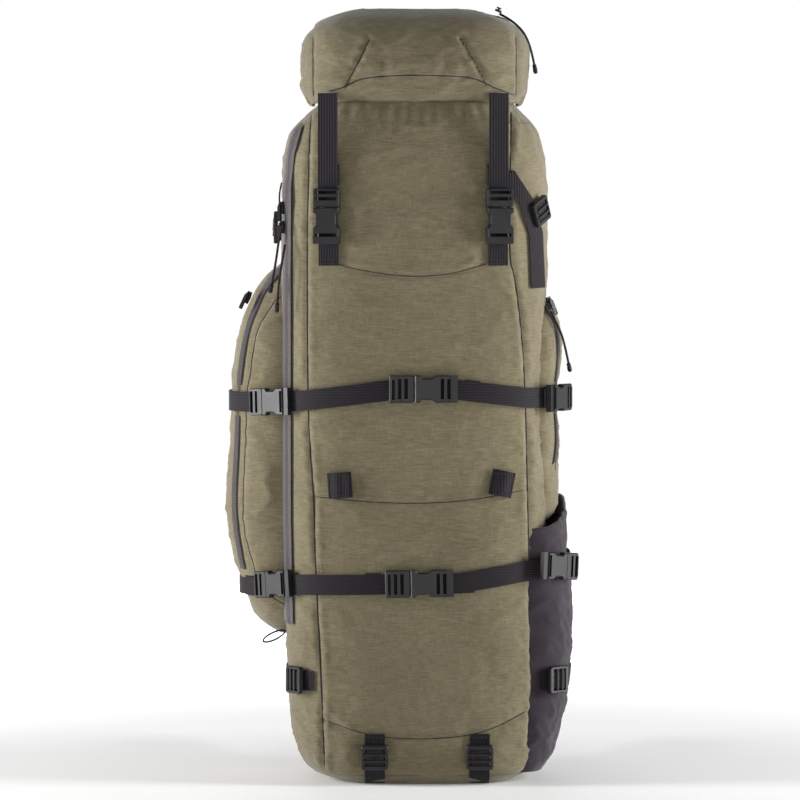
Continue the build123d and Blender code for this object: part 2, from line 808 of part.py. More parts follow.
def hip_belt():
    for side, sign, kind in (("left", -1, buckle_plug(2)), ("right", 1, buckle_socket(1))):
        def at(angle, radius=BELT_R):
            return (sign * radius * sin(radians(angle)), BELT_Y - radius * cos(radians(angle)))

        with BuildPart() as wing:
            with BuildSketch(Plane.XY.offset(54)):
                with BuildLine():
                    Spline(*[at(a) for a in range(27, 100, 8)])
                trace(line_width=13)
            extrude(amount=98)
            with BuildSketch(Plane.XZ):
                with BuildLine():
                    Polyline(
                        *[(sign * x, z) for x, z in ((40, 54), (170, 60), (170, 125), (110, 152), (40, 152))],
                        close=True,
                    )
                make_face()
            extrude(amount=-400, mode=Mode.INTERSECT)
        keep(f"hip_belt_{side}", wing.part)
        with BuildPart() as web:
            with BuildSketch(Plane.XY.offset(80)):
                with BuildLine():
                    Spline(*[at(a, BELT_R + 8.1) for a in range(50, 127, 8)])
                trace(line_width=WEB_T)
            extrude(amount=WEB)
        keep(f"hip_belt_webbing_{side}", web.part)
        a = radians(118)
        outward = (sign * sin(a), -cos(a), 0)
        ahead = (sign * cos(a), sin(a), 0)
        x, y = at(118, BELT_R + 8.1 + 6.4)
        toward = 1 if side == "left" else -1
        end = Plane(origin=(x, y, 92.5), x_dir=tuple(toward * v for v in ahead), z_dir=outward)
        keep("hip_belt_plug" if side == "left" else "hip_belt_socket", placed(kind, end))


# ---------------------------------------------------------------- zip sliders and their pull cords
CORD_D = 3.0


def pull_cord(points, bend=5.0):
    """A pull cord: a tube along straight runs joined by tangent arcs."""
    radii = []
    for a, b, c in zip(points, points[1:], points[2:]):
        before, after = Vector(*b) - Vector(*a), Vector(*c) - Vector(*b)
        half = radians(before.get_angle(after)) / 2
        radii.append(0.45 * min(before.length, after.length) / tan(half))
    with BuildPart() as tube:
        with BuildLine() as route:
            FilletPolyline(*points, radius=radii)
        with BuildSketch(Plane(origin=route.line @ 0, z_dir=route.line % 0)):
            Circle(CORD_D / 2)
        sweep()
    return tube.part


# Pull cords: node name, route from the slider's tab to the knot.
CORDS = {
    "side_zip_cord_upper": [(-169, -117, 700), (-173, -122, 688), (-178, -121, 650), (-184, -116, 621)],
    "side_zip_cord_lower": [(-166, -124, 676), (-168, -130, 664), (-174, -131, 628), (-176, -127, 597)],
    "right_pocket_cord": [(167, -83, 592), (173, -89, 580), (184, -85, 556), (191, -71, 521)],
    "lid_cord": [(103, -58, 966.5), (122, -66, 957), (142, -62, 931), (148, -50, 897)],
}


def sliders():
    """Each slider lies on its zipper's tape with its tab towards its cord."""
    places = {
        "side_zip_slider_upper": Plane(
            origin=(-169.8, -98.8, 722), x_dir=(0, 0, 1), z_dir=(-0.86, -0.5, 0)
        ),
        "side_zip_slider_lower": Plane(
            origin=(-169.0, -99.0, 698), x_dir=(0, 0, 1), z_dir=(-0.86, -0.5, 0)
        ),
        "right_pocket_slider": Plane(
            origin=(165.1, -78.3, 602.4), x_dir=(-0.35, 0, 0.94), z_dir=(0.66, -0.70, 0.25)
        ),
        "left_pocket_slider": Plane(
            origin=(-214, -46, 609), x_dir=(0.42, 0, 0.91), z_dir=(-0.75, -0.56, 0.35)
        ),
        "lid_slider": Plane(origin=(101, -30, 970.2), x_dir=(0, 1, 0), z_dir=(0.33, 0, 0.94)),
    }
    for name, plane in places.items():
        keep(name, placed(zip_slider(), plane))
    for name, points in CORDS.items():
        keep(name, pull_cord(points))


def pocket_zippers():
    """Zipper tapes over the two closed side pockets, broken where the straps cross them."""
    clear = bag_form(GAP + 1.0)
    tapes = []
    left_path = [(-30, 648), (-40, 630), (-47, 600), (-50, 540), (-50, 290), (-42, 225)]
    right_path = [(-30, 612), (-60, 606), (-76, 588), (-80, 560), (-80, 400)]
    for table, place, path, x, straps in (
        (LEFT_POCKET, LEFT_PLACE, left_path, -220, (479, 245)),
        (RIGHT_POCKET, RIGHT_PLACE, right_path, 180, (484,)),
    ):
        with BuildPart() as tape:
            add(pocket_form(table, place, GAP + 1.2))
            add(pocket_form(table, place, GAP), mode=Mode.SUBTRACT)
            add(clear, mode=Mode.SUBTRACT)
            with BuildSketch(Plane.YZ.offset(x)):
                with BuildLine():
                    Polyline(*path)
                trace(line_width=9)
            extrude(amount=70, both=True, mode=Mode.INTERSECT)
            with Locations(*[(0, 0, z) for z in straps]):
                Box(800, 400, 40, mode=Mode.SUBTRACT)
        tapes.append(tape.part)
    with BuildPart() as group:
        add(tapes)
    keep("pocket_zippers", group.part)


# ---------------------------------------------------------------- build and write
clear_bag = bag_form(GAP)
sewn_bag()
pockets(clear_bag)
lid_bag()
keep("side_zipper", side_zipper(clear_bag))
pocket_zippers()
compression_straps(clear_bag)
lid_straps()
corner_straps(clear_bag)
loops()
frame()
harness()
hip_belt()
sliders()
for name, part in nodes.items():
    export_step(part, f"parts/{name}.step")
    print(name, len(part.solids()), round(part.volume), part.is_valid)
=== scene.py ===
"""Looks of the hunting backpack: stuffed cloth, webbing, buckles, zippers, cords and padded harness."""

import json
import math

import bmesh
import bpy
import numpy as np
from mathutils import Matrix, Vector, noise
from mathutils.bvhtree import BVHTree

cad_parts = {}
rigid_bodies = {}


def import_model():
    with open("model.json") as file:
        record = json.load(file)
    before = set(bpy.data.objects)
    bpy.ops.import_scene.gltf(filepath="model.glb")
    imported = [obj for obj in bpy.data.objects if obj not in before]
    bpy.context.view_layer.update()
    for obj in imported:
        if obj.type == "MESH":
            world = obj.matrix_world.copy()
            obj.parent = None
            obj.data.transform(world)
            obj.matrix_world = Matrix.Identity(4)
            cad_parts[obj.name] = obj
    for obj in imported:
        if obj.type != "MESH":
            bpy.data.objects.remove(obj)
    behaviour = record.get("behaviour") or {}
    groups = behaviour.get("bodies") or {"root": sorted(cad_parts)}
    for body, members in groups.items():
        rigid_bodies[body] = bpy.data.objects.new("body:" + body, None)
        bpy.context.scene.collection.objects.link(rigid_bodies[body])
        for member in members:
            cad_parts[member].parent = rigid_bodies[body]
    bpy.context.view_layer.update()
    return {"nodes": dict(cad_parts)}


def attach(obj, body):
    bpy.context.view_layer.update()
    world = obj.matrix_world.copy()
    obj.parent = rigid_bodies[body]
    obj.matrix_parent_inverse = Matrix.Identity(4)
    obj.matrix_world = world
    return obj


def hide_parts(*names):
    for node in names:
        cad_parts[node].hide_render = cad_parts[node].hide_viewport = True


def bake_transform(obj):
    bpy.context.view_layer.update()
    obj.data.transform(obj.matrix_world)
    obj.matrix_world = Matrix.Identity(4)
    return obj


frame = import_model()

NODES = frame["nodes"]
MM = 0.001

# ------------------------------------------------------------------ camera, light and floor
AIM = Vector((-0.0225, -0.12, 0.482))
DISTANCE = 5.6
cam_data = bpy.data.cameras.new("camera")
cam_data.lens = 36.0 * DISTANCE / 1.0
cam_data.sensor_width = 36.0
camera = bpy.data.objects.new("camera", cam_data)
bpy.context.scene.collection.objects.link(camera)
LIFT = math.radians(2.0)
camera.location = AIM + Vector((0, -math.cos(LIFT), math.sin(LIFT))) * DISTANCE
camera.rotation_euler = (AIM - camera.location).to_track_quat("-Z", "Y").to_euler()
bpy.context.scene.camera = camera


def new_material(name):
    material = bpy.data.materials.new(name)
    material.use_nodes = True
    return material, material.node_tree, material.node_tree.nodes["Principled BSDF"]


def area_light(name, place, aim, size, power):
    """A soft box of the given width and height, in metres and watts."""
    data = bpy.data.lights.new(name, "AREA")
    data.shape, data.size, data.size_y, data.energy = "RECTANGLE", *size, power
    light = bpy.data.objects.new(name, data)
    light.location = place
    light.rotation_euler = (Vector(aim) - Vector(place)).to_track_quat("-Z", "Y").to_euler()
    bpy.context.scene.collection.objects.link(light)


# two tall soft boxes light the sides, so that the front falls off towards its middle
area_light("strip_right", (2.5, -0.50, 0.75), (0.1, -0.05, 0.5), (0.7, 1.7), 92)
area_light("strip_left", (-2.5, -0.40, 0.70), (-0.1, -0.05, 0.45), (0.7, 1.7), 90)
area_light("front_soft", (0.3, -3.6, 0.45), (0, 0, 0.40), (1.8, 1.2), 17)
area_light("back_soft", (-0.3, 3.1, 0.9), (0, 0, 0.5), (2.0, 1.5), 46)
area_light("top_soft", (0, 0.9, 2.9), (0, 0, 0.6), (1.2, 1.2), 2)


EVEN_LIGHT = 0.11


def studio_world():
    """White seen directly, and a low even light on the object."""
    world = bpy.data.worlds.new("studio")
    world.use_nodes = True
    tree = world.node_tree
    even, white = tree.nodes["Background"], tree.nodes.new("ShaderNodeBackground")
    for source, strength in ((even, EVEN_LIGHT), (white, 1.0)):
        source.inputs["Color"].default_value = (1, 1, 1, 1)
        source.inputs["Strength"].default_value = strength
    seen = tree.nodes.new("ShaderNodeLightPath")
    mix = tree.nodes.new("ShaderNodeMixShader")
    tree.links.new(seen.outputs["Is Camera Ray"], mix.inputs[0])
    tree.links.new(even.outputs[0], mix.inputs[1])
    tree.links.new(white.outputs[0], mix.inputs[2])
    tree.links.new(mix.outputs[0], tree.nodes["World Output"].inputs["Surface"])
    bpy.context.scene.world = world


studio_world()
bpy.context.scene.view_settings.view_transform = "Standard"

# ------------------------------------------------------------------ materials
def nodes_of(tree):
    """A maker of shader nodes with their settings and socket values."""
    def make(kind, **values):
        node = tree.nodes.new(kind)
        for key, value in values.items():
            if key in ("operation", "blend_type"):
                setattr(node, key, value)
            else:
                node.inputs[key].default_value = value
        return node

    return make


def bumps(tree, shader, *layers):
    """Bump layers over one another: (height, strength, distance in metres)."""
    below = None
    for height, strength, distance in layers:
        bump = tree.nodes.new("ShaderNodeBump")
        bump.inputs["Strength"].default_value = strength
        bump.inputs["Distance"].default_value = distance
        tree.links.new(height, bump.inputs["Height"])
        if below:
            tree.links.new(below, bump.inputs["Normal"])
        below = bump.outputs[0]
    tree.links.new(below, shader.inputs["Normal"])


def settle(shader, rough, specular, sheen=0.0):
    """Uniform values of a dielectric surface."""
    shader.inputs["Roughness"].default_value = rough
    shader.inputs["Specular IOR Level"].default_value = specular
    shader.inputs["Sheen Weight"].default_value = sheen


def ramp(tree, stops, source):
    node = tree.nodes.new("ShaderNodeValToRGB")
    elements = node.color_ramp.elements
    while len(elements) < len(stops):
        elements.new(0.5)
    for element, (place, color) in zip(elements, stops):
        element.position, element.color = place, (*color, 1)
    tree.links.new(source, node.inputs["Fac"])
    return node.outputs["Color"]


def shade(color, factor):
    return tuple(min(1.0, c * factor) for c in color)


def noise_on(tree, place, scale, detail, rough=0.5):
    """Noise with its own scale along each axis."""
    stretch = tree.nodes.new("ShaderNodeMapping")
    stretch.inputs["Scale"].default_value = scale
    tree.links.new(place, stretch.inputs["Vector"])
    made = tree.nodes.new("ShaderNodeTexNoise")
    made.inputs["Scale"].default_value = 1.0
    made.inputs["Detail"].default_value = detail
    made.inputs["Roughness"].default_value = rough
    tree.links.new(stretch.outputs[0], made.inputs["Vector"])
    return made.outputs["Fac"]


def cloth_material(
    name, color, weft=(80, 80, 1100), warp=(900, 900, 70), contrast=0.25, rough=0.88, sheen=0.24
):
    """Heathered woven cloth: level slubs, fainter upright ones, blotches of wear and a fine weave."""
    material, tree, shader = new_material(name)
    make = nodes_of(tree)
    place = make("ShaderNodeTexCoord").outputs["Object"]
    low, high = shade(color, 1 - contrast), shade(color, 1 + contrast)
    level = ramp(tree, [(0.34, low), (0.5, color), (0.68, high)], noise_on(tree, place, weft, 4.0, 0.62))
    upright = ramp(
        tree, [(0.3, (0.84, 0.84, 0.84)), (0.7, (1.12, 1.12, 1.12))], noise_on(tree, place, warp, 3.0, 0.6)
    )
    blotch = ramp(
        tree, [(0.3, (0.86, 0.85, 0.83)), (0.6, (1, 1, 1))], noise_on(tree, place, (8, 8, 8), 4.0, 0.6)
    )
    woven = make("ShaderNodeMixRGB", blend_type="MULTIPLY", Fac=1.0)
    tree.links.new(level, woven.inputs["Color1"])
    tree.links.new(upright, woven.inputs["Color2"])
    worn = make("ShaderNodeMixRGB", blend_type="MULTIPLY", Fac=1.0)
    tree.links.new(woven.outputs[0], worn.inputs["Color1"])
    tree.links.new(blotch, worn.inputs["Color2"])
    tree.links.new(worn.outputs[0], shader.inputs["Base Color"])
    bumps(
        tree, shader,
        (noise_on(tree, place, (1100, 1100, 1700), 2.0), 0.5, 0.0005),
        (noise_on(tree, place, weft, 3.0), 0.35, 0.0007),
        (noise_on(tree, place, (24, 24, 40), 3.0), 0.35, 0.003),
    )
    settle(shader, rough, 0.2, sheen)
    return material


FINE_WEAVE = (700, 700, 700)


def webbing_material(name, color, across):
    """Nylon webbing: ribs along its length, lying across the given axis, and a faint herringbone."""
    material, tree, shader = new_material(name)
    make = nodes_of(tree)
    place = make("ShaderNodeTexCoord").outputs["Object"]
    ribs = make("ShaderNodeTexWave", Scale=95.0, Distortion=0.4, Detail=1.0)
    ribs.bands_direction = across
    tree.links.new(place, ribs.inputs["Vector"])
    mixed = make("ShaderNodeMath", operation="ADD")
    tree.links.new(ribs.outputs["Fac"], mixed.inputs[0])
    tree.links.new(noise_on(tree, place, FINE_WEAVE, 2.0), mixed.inputs[1])
    tree.links.new(
        ramp(tree, [(0.35, shade(color, 0.72)), (0.6, color), (0.95, shade(color, 1.3))], mixed.outputs[0]),
        shader.inputs["Base Color"],
    )
    bumps(tree, shader, (mixed.outputs[0], 0.6, 0.0007))
    settle(shader, 0.72, 0.16, 0.02)
    return material


def moulded_material(name, color, rough=0.38, metallic=0.0, scratch=0.12):
    """Moulded plastic or cast metal: fine grain, edge wear and uneven gloss."""
    material, tree, shader = new_material(name)
    make = nodes_of(tree)
    place = make("ShaderNodeTexCoord").outputs["Object"]
    wear = make("ShaderNodeTexNoise", Scale=70.0, Detail=6.0, Roughness=0.7)
    tree.links.new(place, wear.inputs["Vector"])
    tree.links.new(
        ramp(tree, [(0.35, shade(color, 0.8)), (0.6, color), (0.78, shade(color, 1.5))], wear.outputs["Fac"]),
        shader.inputs["Base Color"],
    )
    gloss = make("ShaderNodeMapRange")
    gloss.inputs["To Min"].default_value = max(0.05, rough - scratch)
    gloss.inputs["To Max"].default_value = rough + scratch
    tree.links.new(wear.outputs["Fac"], gloss.inputs["Value"])
    tree.links.new(gloss.outputs[0], shader.inputs["Roughness"])
    grain = make("ShaderNodeTexNoise", Scale=1400.0, Detail=1.0)
    tree.links.new(place, grain.inputs["Vector"])
    bumps(tree, shader, (grain.outputs["Fac"], 0.12, 0.0003))
    shader.inputs["Metallic"].default_value = metallic
    shader.inputs["Specular IOR Level"].default_value = 0.36
    return material


OLIVE, DARK, FINE = (0.172, 0.146, 0.088), (0.0165, 0.014, 0.0175), (800, 800, 800)
M_SHELL = cloth_material("olive_shell", OLIVE)
# painted shade: the whole lid wears the shell's olive darkened to 0.88, standing for the dim light that falls
# on its top
M_LID_PAINTED_SHADE = cloth_material("olive_lid_painted_shade", shade(OLIVE, 0.88))
M_LINING = cloth_material("grey_lining", (0.11, 0.105, 0.095), contrast=0.2)
M_STRETCH = cloth_material(
    "stretch_knit", (0.027, 0.0205, 0.028), FINE, FINE, contrast=0.3, rough=0.8, sheen=0.2
)
M_TAPE = cloth_material("zip_tape", (0.075, 0.062, 0.068), (400, 400, 900), FINE, contrast=0.25, rough=0.6)
M_FOAM = cloth_material("harness_mesh", (0.026, 0.025, 0.027), FINE, FINE, contrast=0.5, sheen=0.15)
M_BIND = cloth_material("binding", (0.014, 0.013, 0.014), FINE, FINE, contrast=0.3)
M_WEB_H = webbing_material("webbing_level", DARK, "Z")
M_WEB_V = webbing_material("webbing_upright", shade(DARK, 0.66), "X")
M_BUCKLE = moulded_material("buckle_acetal", (0.0105, 0.0105, 0.011), rough=0.42)
M_SLIDER = moulded_material("slider_enamel", (0.03, 0.03, 0.032), rough=0.25, metallic=0.6)
M_ALLOY = moulded_material("frame_alloy", (0.22, 0.22, 0.23), rough=0.4, metallic=1.0)
M_STEEL = moulded_material("screw_zinc", (0.45, 0.45, 0.46), rough=0.3, metallic=1.0)
M_CORD = webbing_material("cord_braid", (0.016, 0.015, 0.016), "DIAGONAL")
M_THREAD = cloth_material("thread", (0.115, 0.098, 0.062), FINE, FINE, contrast=0.3)
M_THREAD_DARK = cloth_material("thread_dark", (0.022, 0.019, 0.019), FINE, FINE, contrast=0.3)
M_COIL = moulded_material("zip_coil", (0.022, 0.019, 0.021), rough=0.35)

floor_material, floor_tree, floor_shader = new_material("paper_sweep")
make_floor = nodes_of(floor_tree)
floor_noise = make_floor("ShaderNodeTexNoise", Scale=3.0, Detail=2.0)
floor_tree.links.new(
    ramp(floor_tree, [(0.3, (0.88, 0.88, 0.88)), (0.7, (0.90, 0.90, 0.90))], floor_noise.outputs["Fac"]),
    floor_shader.inputs["Base Color"],
)
floor_shader.inputs["Roughness"].default_value = 0.9
# the floor glows more and more away from the object, so that it meets the white surroundings without an edge
away = make_floor("ShaderNodeVectorMath", operation="LENGTH")
floor_tree.links.new(make_floor("ShaderNodeTexCoord").outputs["Object"], away.inputs[0])
glow = make_floor("ShaderNodeMapRange")
for socket, value in (("From Min", 0.7), ("From Max", 2.4), ("To Min", 0.1), ("To Max", 0.95)):
    glow.inputs[socket].default_value = value
floor_tree.links.new(away.outputs["Value"], glow.inputs["Value"])
floor_shader.inputs["Emission Color"].default_value = (1, 1, 1, 1)
floor_tree.links.new(glow.outputs[0], floor_shader.inputs["Emission Strength"])
FLOOR_HALF = 9
floor_mesh = bpy.data.meshes.new("floor")
floor_mesh.from_pydata(
    [(x * FLOOR_HALF, y * FLOOR_HALF, 0) for x, y in ((-1, -1), (1, -1), (1, 1), (-1, 1))], [], [(0, 1, 2, 3)]
)
floor = bpy.data.objects.new("floor", floor_mesh)
floor_mesh.materials.append(floor_material)
bpy.context.scene.collection.objects.link(floor)

# ------------------------------------------------------------------ CAD pieces that keep their shape
KEPT = {
    M_WEB_H: [
        "mid_strap_webbing", "lower_strap_webbing", "haul_loop", "hip_belt_webbing_left",
        "hip_belt_webbing_right",
    ],
    M_WEB_V: [
        "lid_anchor_webbing", "lid_webbing", "corner_strap_webbing", "bottom_strap_webbing", "webbing_loops",
        "harness_webbing",
    ],
    M_BUCKLE: [
        "strap_buckle_sockets", "lid_buckle_sockets", "lid_buckle_plugs", "ladder_locks",
        "harness_ladder_locks", "sternum_socket", "sternum_plug", "hip_belt_plug", "hip_belt_socket",
        *[f"{row}_{side}_plug" for row in ("mid", "lower") for side in ("left", "center", "right")],
    ],
    M_SLIDER: [
        "side_zip_slider_upper", "side_zip_slider_lower", "right_pocket_slider", "left_pocket_slider",
        "lid_slider",
    ],
    M_ALLOY: ["frame_stays", "frame_crossbars"],
    M_STEEL: ["frame_screws"],
    M_TAPE: ["side_zipper", "pocket_zippers", "lid_zipper"],
}
BEVEL = {M_BUCKLE: 0.5, M_SLIDER: 0.3, M_ALLOY: 0.8, M_STEEL: 0.4}
for material, names in KEPT.items():
    for name in names:
        piece = NODES[name]
        piece.data.materials.clear()
        piece.data.materials.append(material)
        if material in BEVEL:
            bevel = piece.modifiers.new("soft_edges", "BEVEL")
            bevel.width, bevel.segments = BEVEL[material] * MM, 2
            bevel.limit_method, bevel.angle_limit = "ANGLE", math.radians(32)


def search_tree(*pieces):
    """One search tree over several pieces, in metres."""
    verts, faces = [], []
    for piece in pieces:
        base = len(verts)
        verts += [v.co.copy() for v in piece.data.vertices]
        faces += [[base + i for i in p.vertices] for p in piece.data.polygons]
    return BVHTree.FromPolygons(verts, faces)


def cad_tree(*names):
    return search_tree(*[NODES[name] for name in names])


HARDWARE = cad_tree(
    "mid_strap_webbing", "lower_strap_webbing", "lid_anchor_webbing", "corner_strap_webbing",
    "bottom_strap_webbing", "webbing_loops", "side_zipper", "pocket_zippers", "frame_stays",
)
LID_HARDWARE = cad_tree("lid_webbing", "lid_zipper")

# ------------------------------------------------------------------ stuffed forms
# each row in mm: height, then the half sizes there (the bag's first column is its middle's x)
BAG_Y, BAG_CURVE_FRONT, BAG_CURVE_BACK = -20.0, 3.6, 6.0
LID_X, LID_Y, LID_CURVE_BACK = -3.0, -22.0, 4.0
BAG = np.array([
    (0, 8, 110, 97, 114), (12, 4, 136, 113, 123), (32, 2, 150, 121, 127), (60, 1, 158, 126, 129),
    (105, 0, 162, 129, 130), (170, -2, 164, 132, 130), (250, -4, 166, 134, 130), (340, -5, 167, 135, 130),
    (440, -5, 167, 136, 130), (540, -5, 167, 136, 130), (630, -5, 167, 135, 130), (700, -5, 166, 134, 130),
    (755, -5, 166, 131, 130), (795, -5, 162, 127, 129), (822, -4, 153, 122, 127), (840, -3, 135, 118, 125),
    (856, -2, 121, 114, 121), (872, -2, 116, 110, 118),
], float)
LEFT_POCKET = np.array([
    (182, 28, 38), (200, 52, 60), (225, 66, 75), (262, 80, 86), (330, 93, 91), (420, 90, 92), (510, 86, 90),
    (585, 71, 81), (625, 52, 64), (652, 26, 38),
], float)
RIGHT_POCKET = np.array([
    (322, 22, 52), (338, 35, 74), (360, 41, 82), (394, 42, 86), (425, 44, 92), (485, 41, 94), (545, 46, 93),
    (578, 43, 84), (600, 32, 66), (616, 20, 46),
], float)
SLEEVE = np.array([
    (13, 34, 90), (32, 43, 96), (62, 52, 102), (105, 63, 107), (165, 69, 110), (235, 69, 111), (310, 63, 112),
    (400, 58, 110),
], float)
LID = np.array([
    (853, 134, 130, 122), (862, 138, 137, 132), (876, 141, 142, 138), (898, 143, 144, 140),
    (922, 142, 143, 140), (944, 133, 134, 134), (960, 113, 115, 117), (971, 78, 80, 84),
], float)


def smooth_at(table, z):
    """The table's columns at height z, on a smooth curve through its rows."""
    zs, values = table[:, 0], table[:, 1:]
    h, d = np.diff(zs), np.diff(values, axis=0) / np.diff(zs)[:, None]
    slope = np.zeros_like(values)
    slope[1:-1] = (d[:-1] * h[1:, None] + d[1:] * h[:-1, None]) / (h[1:] + h[:-1])[:, None]
    slope[0], slope[-1] = 1.5 * d[0] - 0.5 * slope[1], 1.5 * d[-1] - 0.5 * slope[-2]
    i = int(np.clip(np.searchsorted(zs, z) - 1, 0, len(zs) - 2))
    t = np.clip((z - zs[i]) / h[i], 0, 1)
    return (
        values[i] * (2 * t**3 - 3 * t**2 + 1)
        + slope[i] * h[i] * (t**3 - 2 * t**2 + t)
        + values[i + 1] * (3 * t**2 - 2 * t**3)
        + slope[i + 1] * h[i] * (t**3 - t**2)
    )


def ring(x, y, w, front, back, power_front, power_back, count):
    """An outline about (x, y) with evenly spaced points, from the middle of the back."""
    a = np.linspace(0, 2 * np.pi, 1441) + np.pi / 2
    c, s = np.cos(a), np.sin(a)
    power = np.where(s < 0, power_front, power_back)
    reach = np.where(s < 0, front, back)
    px = x + w * np.sign(c) * np.abs(c) ** (2 / power)
    py = y + reach * np.sign(s) * np.abs(s) ** (2 / power)
    run = np.concatenate([[0], np.cumsum(np.hypot(np.diff(px), np.diff(py)))])
    at = np.linspace(0, run[-1], count, endpoint=False)
    return np.stack([np.interp(at, run, px), np.interp(at, run, py)], axis=1)


def bag_ring(z, grow, count):
    x, w, f, b = smooth_at(BAG, z)
    return ring(x, BAG_Y, w + grow, f + grow, b + grow, BAG_CURVE_FRONT, BAG_CURVE_BACK, count)


def lid_ring(z, grow, count):
    w, f, b = smooth_at(LID, z)
    return ring(LID_X, LID_Y, w + grow, f + grow, b + grow, BAG_CURVE_FRONT, LID_CURVE_BACK, count)


def pocket_ring(table, place, z, grow, count):
    r, d = smooth_at(table, z)
    x, y, power = place
    return ring(x, y, r + grow, d + grow, d + grow, power, power, count)


def inside_bag(p, grow):
    """How far a point in millimetres lies inside the grown bag: under 1 is inside."""
    x, w, f, b = smooth_at(BAG, p[2])
    reach, power = (f, BAG_CURVE_FRONT) if p[1] < BAG_Y else (b, BAG_CURVE_BACK)
    return (abs(p[0] - x) / (w + grow)) ** power + (abs(p[1] - BAG_Y) / (reach + grow)) ** power


def fuzz(x, y, z, seed=0.0):
    return noise.noise(Vector((x + seed, y - seed, z + 2 * seed)))


def crease(x, y, z, seed=0.0):
    """Sharp-crested folds, 0 to 1."""
    return (1 - min(1.0, abs(fuzz(x, y, z, seed)) * 2.2)) ** 2


def wrinkle(p, amount, seed):
    """Outward push in mm at a point given in mm: broad dents, folds and small puckers."""
    x, y, z = p
    return amount * (
        1.6 * fuzz(x / 85, y / 85, z / 85, seed)
        + 0.9 * fuzz(x / 38, y / 38, z / 30, seed + 3)
        + 1.1 * crease(x / 60, y / 60, z / 34, seed + 7)
        + 0.5 * crease(x / 24, y / 24, z / 16, seed + 11)
        - 0.7
    )


def strap_pull(tree, p, reach):
    """1 on a strap or buckle, 0 beyond reach (mm), so that cloth is pressed in beneath it."""
    near = tree.find_nearest(Vector(p) * MM, (reach + 1) * MM)
    if near[0] is None:
        return 0.0
    t = max(0.0, 1 - near[3] / MM / reach)
    return t * t * (3 - 2 * t)


def grid_object(name, rows, material, closed=True, caps=(False, False)):
    """A mesh from rows of points in mm, each row once round."""
    count = len(rows[0])
    verts = [tuple(v * MM for v in p) for row in rows for p in row]
    faces = []
    for j in range(len(rows) - 1):
        for i in range(count if closed else count - 1):
            k = (i + 1) % count
            faces.append((j * count + i, j * count + k, (j + 1) * count + k, (j + 1) * count + i))
    if caps[0]:
        faces.append(tuple(reversed(range(count))))
    if caps[1]:
        faces.append(tuple((len(rows) - 1) * count + i for i in range(count)))
    mesh = bpy.data.meshes.new(name)
    mesh.from_pydata(verts, [], faces)
    return finish_mesh(name, mesh, material)


def finish_mesh(name, mesh, material):
    """A smooth-shaded object in the scene."""
    mesh.materials.append(material)
    mesh.validate()
    mesh.polygons.foreach_set("use_smooth", [True] * len(mesh.polygons))
    mesh.update()
    made = bpy.data.objects.new(name, mesh)
    bpy.context.scene.collection.objects.link(made)
    return made


def belong(piece, body, slot, *nodes):
    """The body a piece moves with, and the CAD nodes it stands for, which are hidden. slot, the finish, is
    not used.
    """
    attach(piece, body)
    if nodes:
        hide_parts(*nodes)


def outward(line):
    """Outward directions along a closed outline."""
    tangent = np.roll(line, -1, axis=0) - np.roll(line, 1, axis=0)
    normal = np.stack([tangent[:, 1], -tangent[:, 0]], axis=1)
    return normal / np.linalg.norm(normal, axis=1)[:, None]


def pushed(outlines, heights, push):
    """Rows of 3D points in mm from outlines, each pushed outward by push(point)."""
    rows = []
    for line, z in zip(outlines, heights):
        row = []
        for (x, y), (nx, ny) in zip(line, outward(line)):
            d = push((x, y, z))
            row.append((x + nx * d, y + ny * d, z))
        rows.append(row)
    return rows


# seams on the front, as seen square on: points (x, z) in mm
LEFT_SEAM = [
    (-134, 840), (-136, 784), (-138, 695), (-138, 521), (-136, 435), (-130, 365), (-128, 271), (-122, 155),
    (-117, 22),
]
RIGHT_SEAM = [
    (117, 841), (114, 750), (114, 654), (120, 641), (130, 560), (134, 485), (136, 397), (140, 235),
    (143, 110), (138, 50),
]
UPPER_SEAM = [(-104, 653), (-80, 646), (-40, 639), (2, 636), (44, 640), (84, 652)]
MIDDLE_SEAM = [(-128, 362), (-60, 356), (2, 354), (66, 358), (132, 370)]
HEM_SEAM = [(-117, 82), (-54, 62), (2, 59), (50, 62), (90, 70), (135, 92)]


SEAM_REACH = 16


def seam_gap(line, x, z):
    """Distance in mm from (x, z) to a broken line; a far line counts as very far."""
    best = 1e9
    for (ax, az), (bx, bz) in zip(line, line[1:]):
        outside_x = min(ax, bx) - SEAM_REACH > x or max(ax, bx) + SEAM_REACH < x
        if outside_x or min(az, bz) - SEAM_REACH > z or max(az, bz) + SEAM_REACH < z:
            continue
        ux, uz = bx - ax, bz - az
        t = min(1.0, max(0.0, ((x - ax) * ux + (z - az) * uz) / (ux * ux + uz * uz)))
        best = min(best, math.hypot(x - ax - t * ux, z - az - t * uz))
    return best


def seam_push(x, z, lines):
    """Cloth dips along a seam and puffs beside it, with puckers across it."""
    total = 0.0
    for line, depth in lines:
        d = seam_gap(line, x, z)
        if d < SEAM_REACH:
            total -= depth * math.exp(-((d / 2.6) ** 2))
            total += 0.45 * depth * math.exp(-(((d - 7) / 4.0) ** 2)) * (1 + 0.6 * math.sin((x + z) / 3.1))
    return total


FRONT_Y, BACK_Y, COLLAR_Z, BASE_Z, COLLAR_GATHERS = -40, 88, 828, 40, 46
FRONT_LINES = [(LEFT_SEAM, 2.4), (RIGHT_SEAM, 2.4), (UPPER_SEAM, 1.8), (MIDDLE_SEAM, 1.6), (HEM_SEAM, 2.2)]


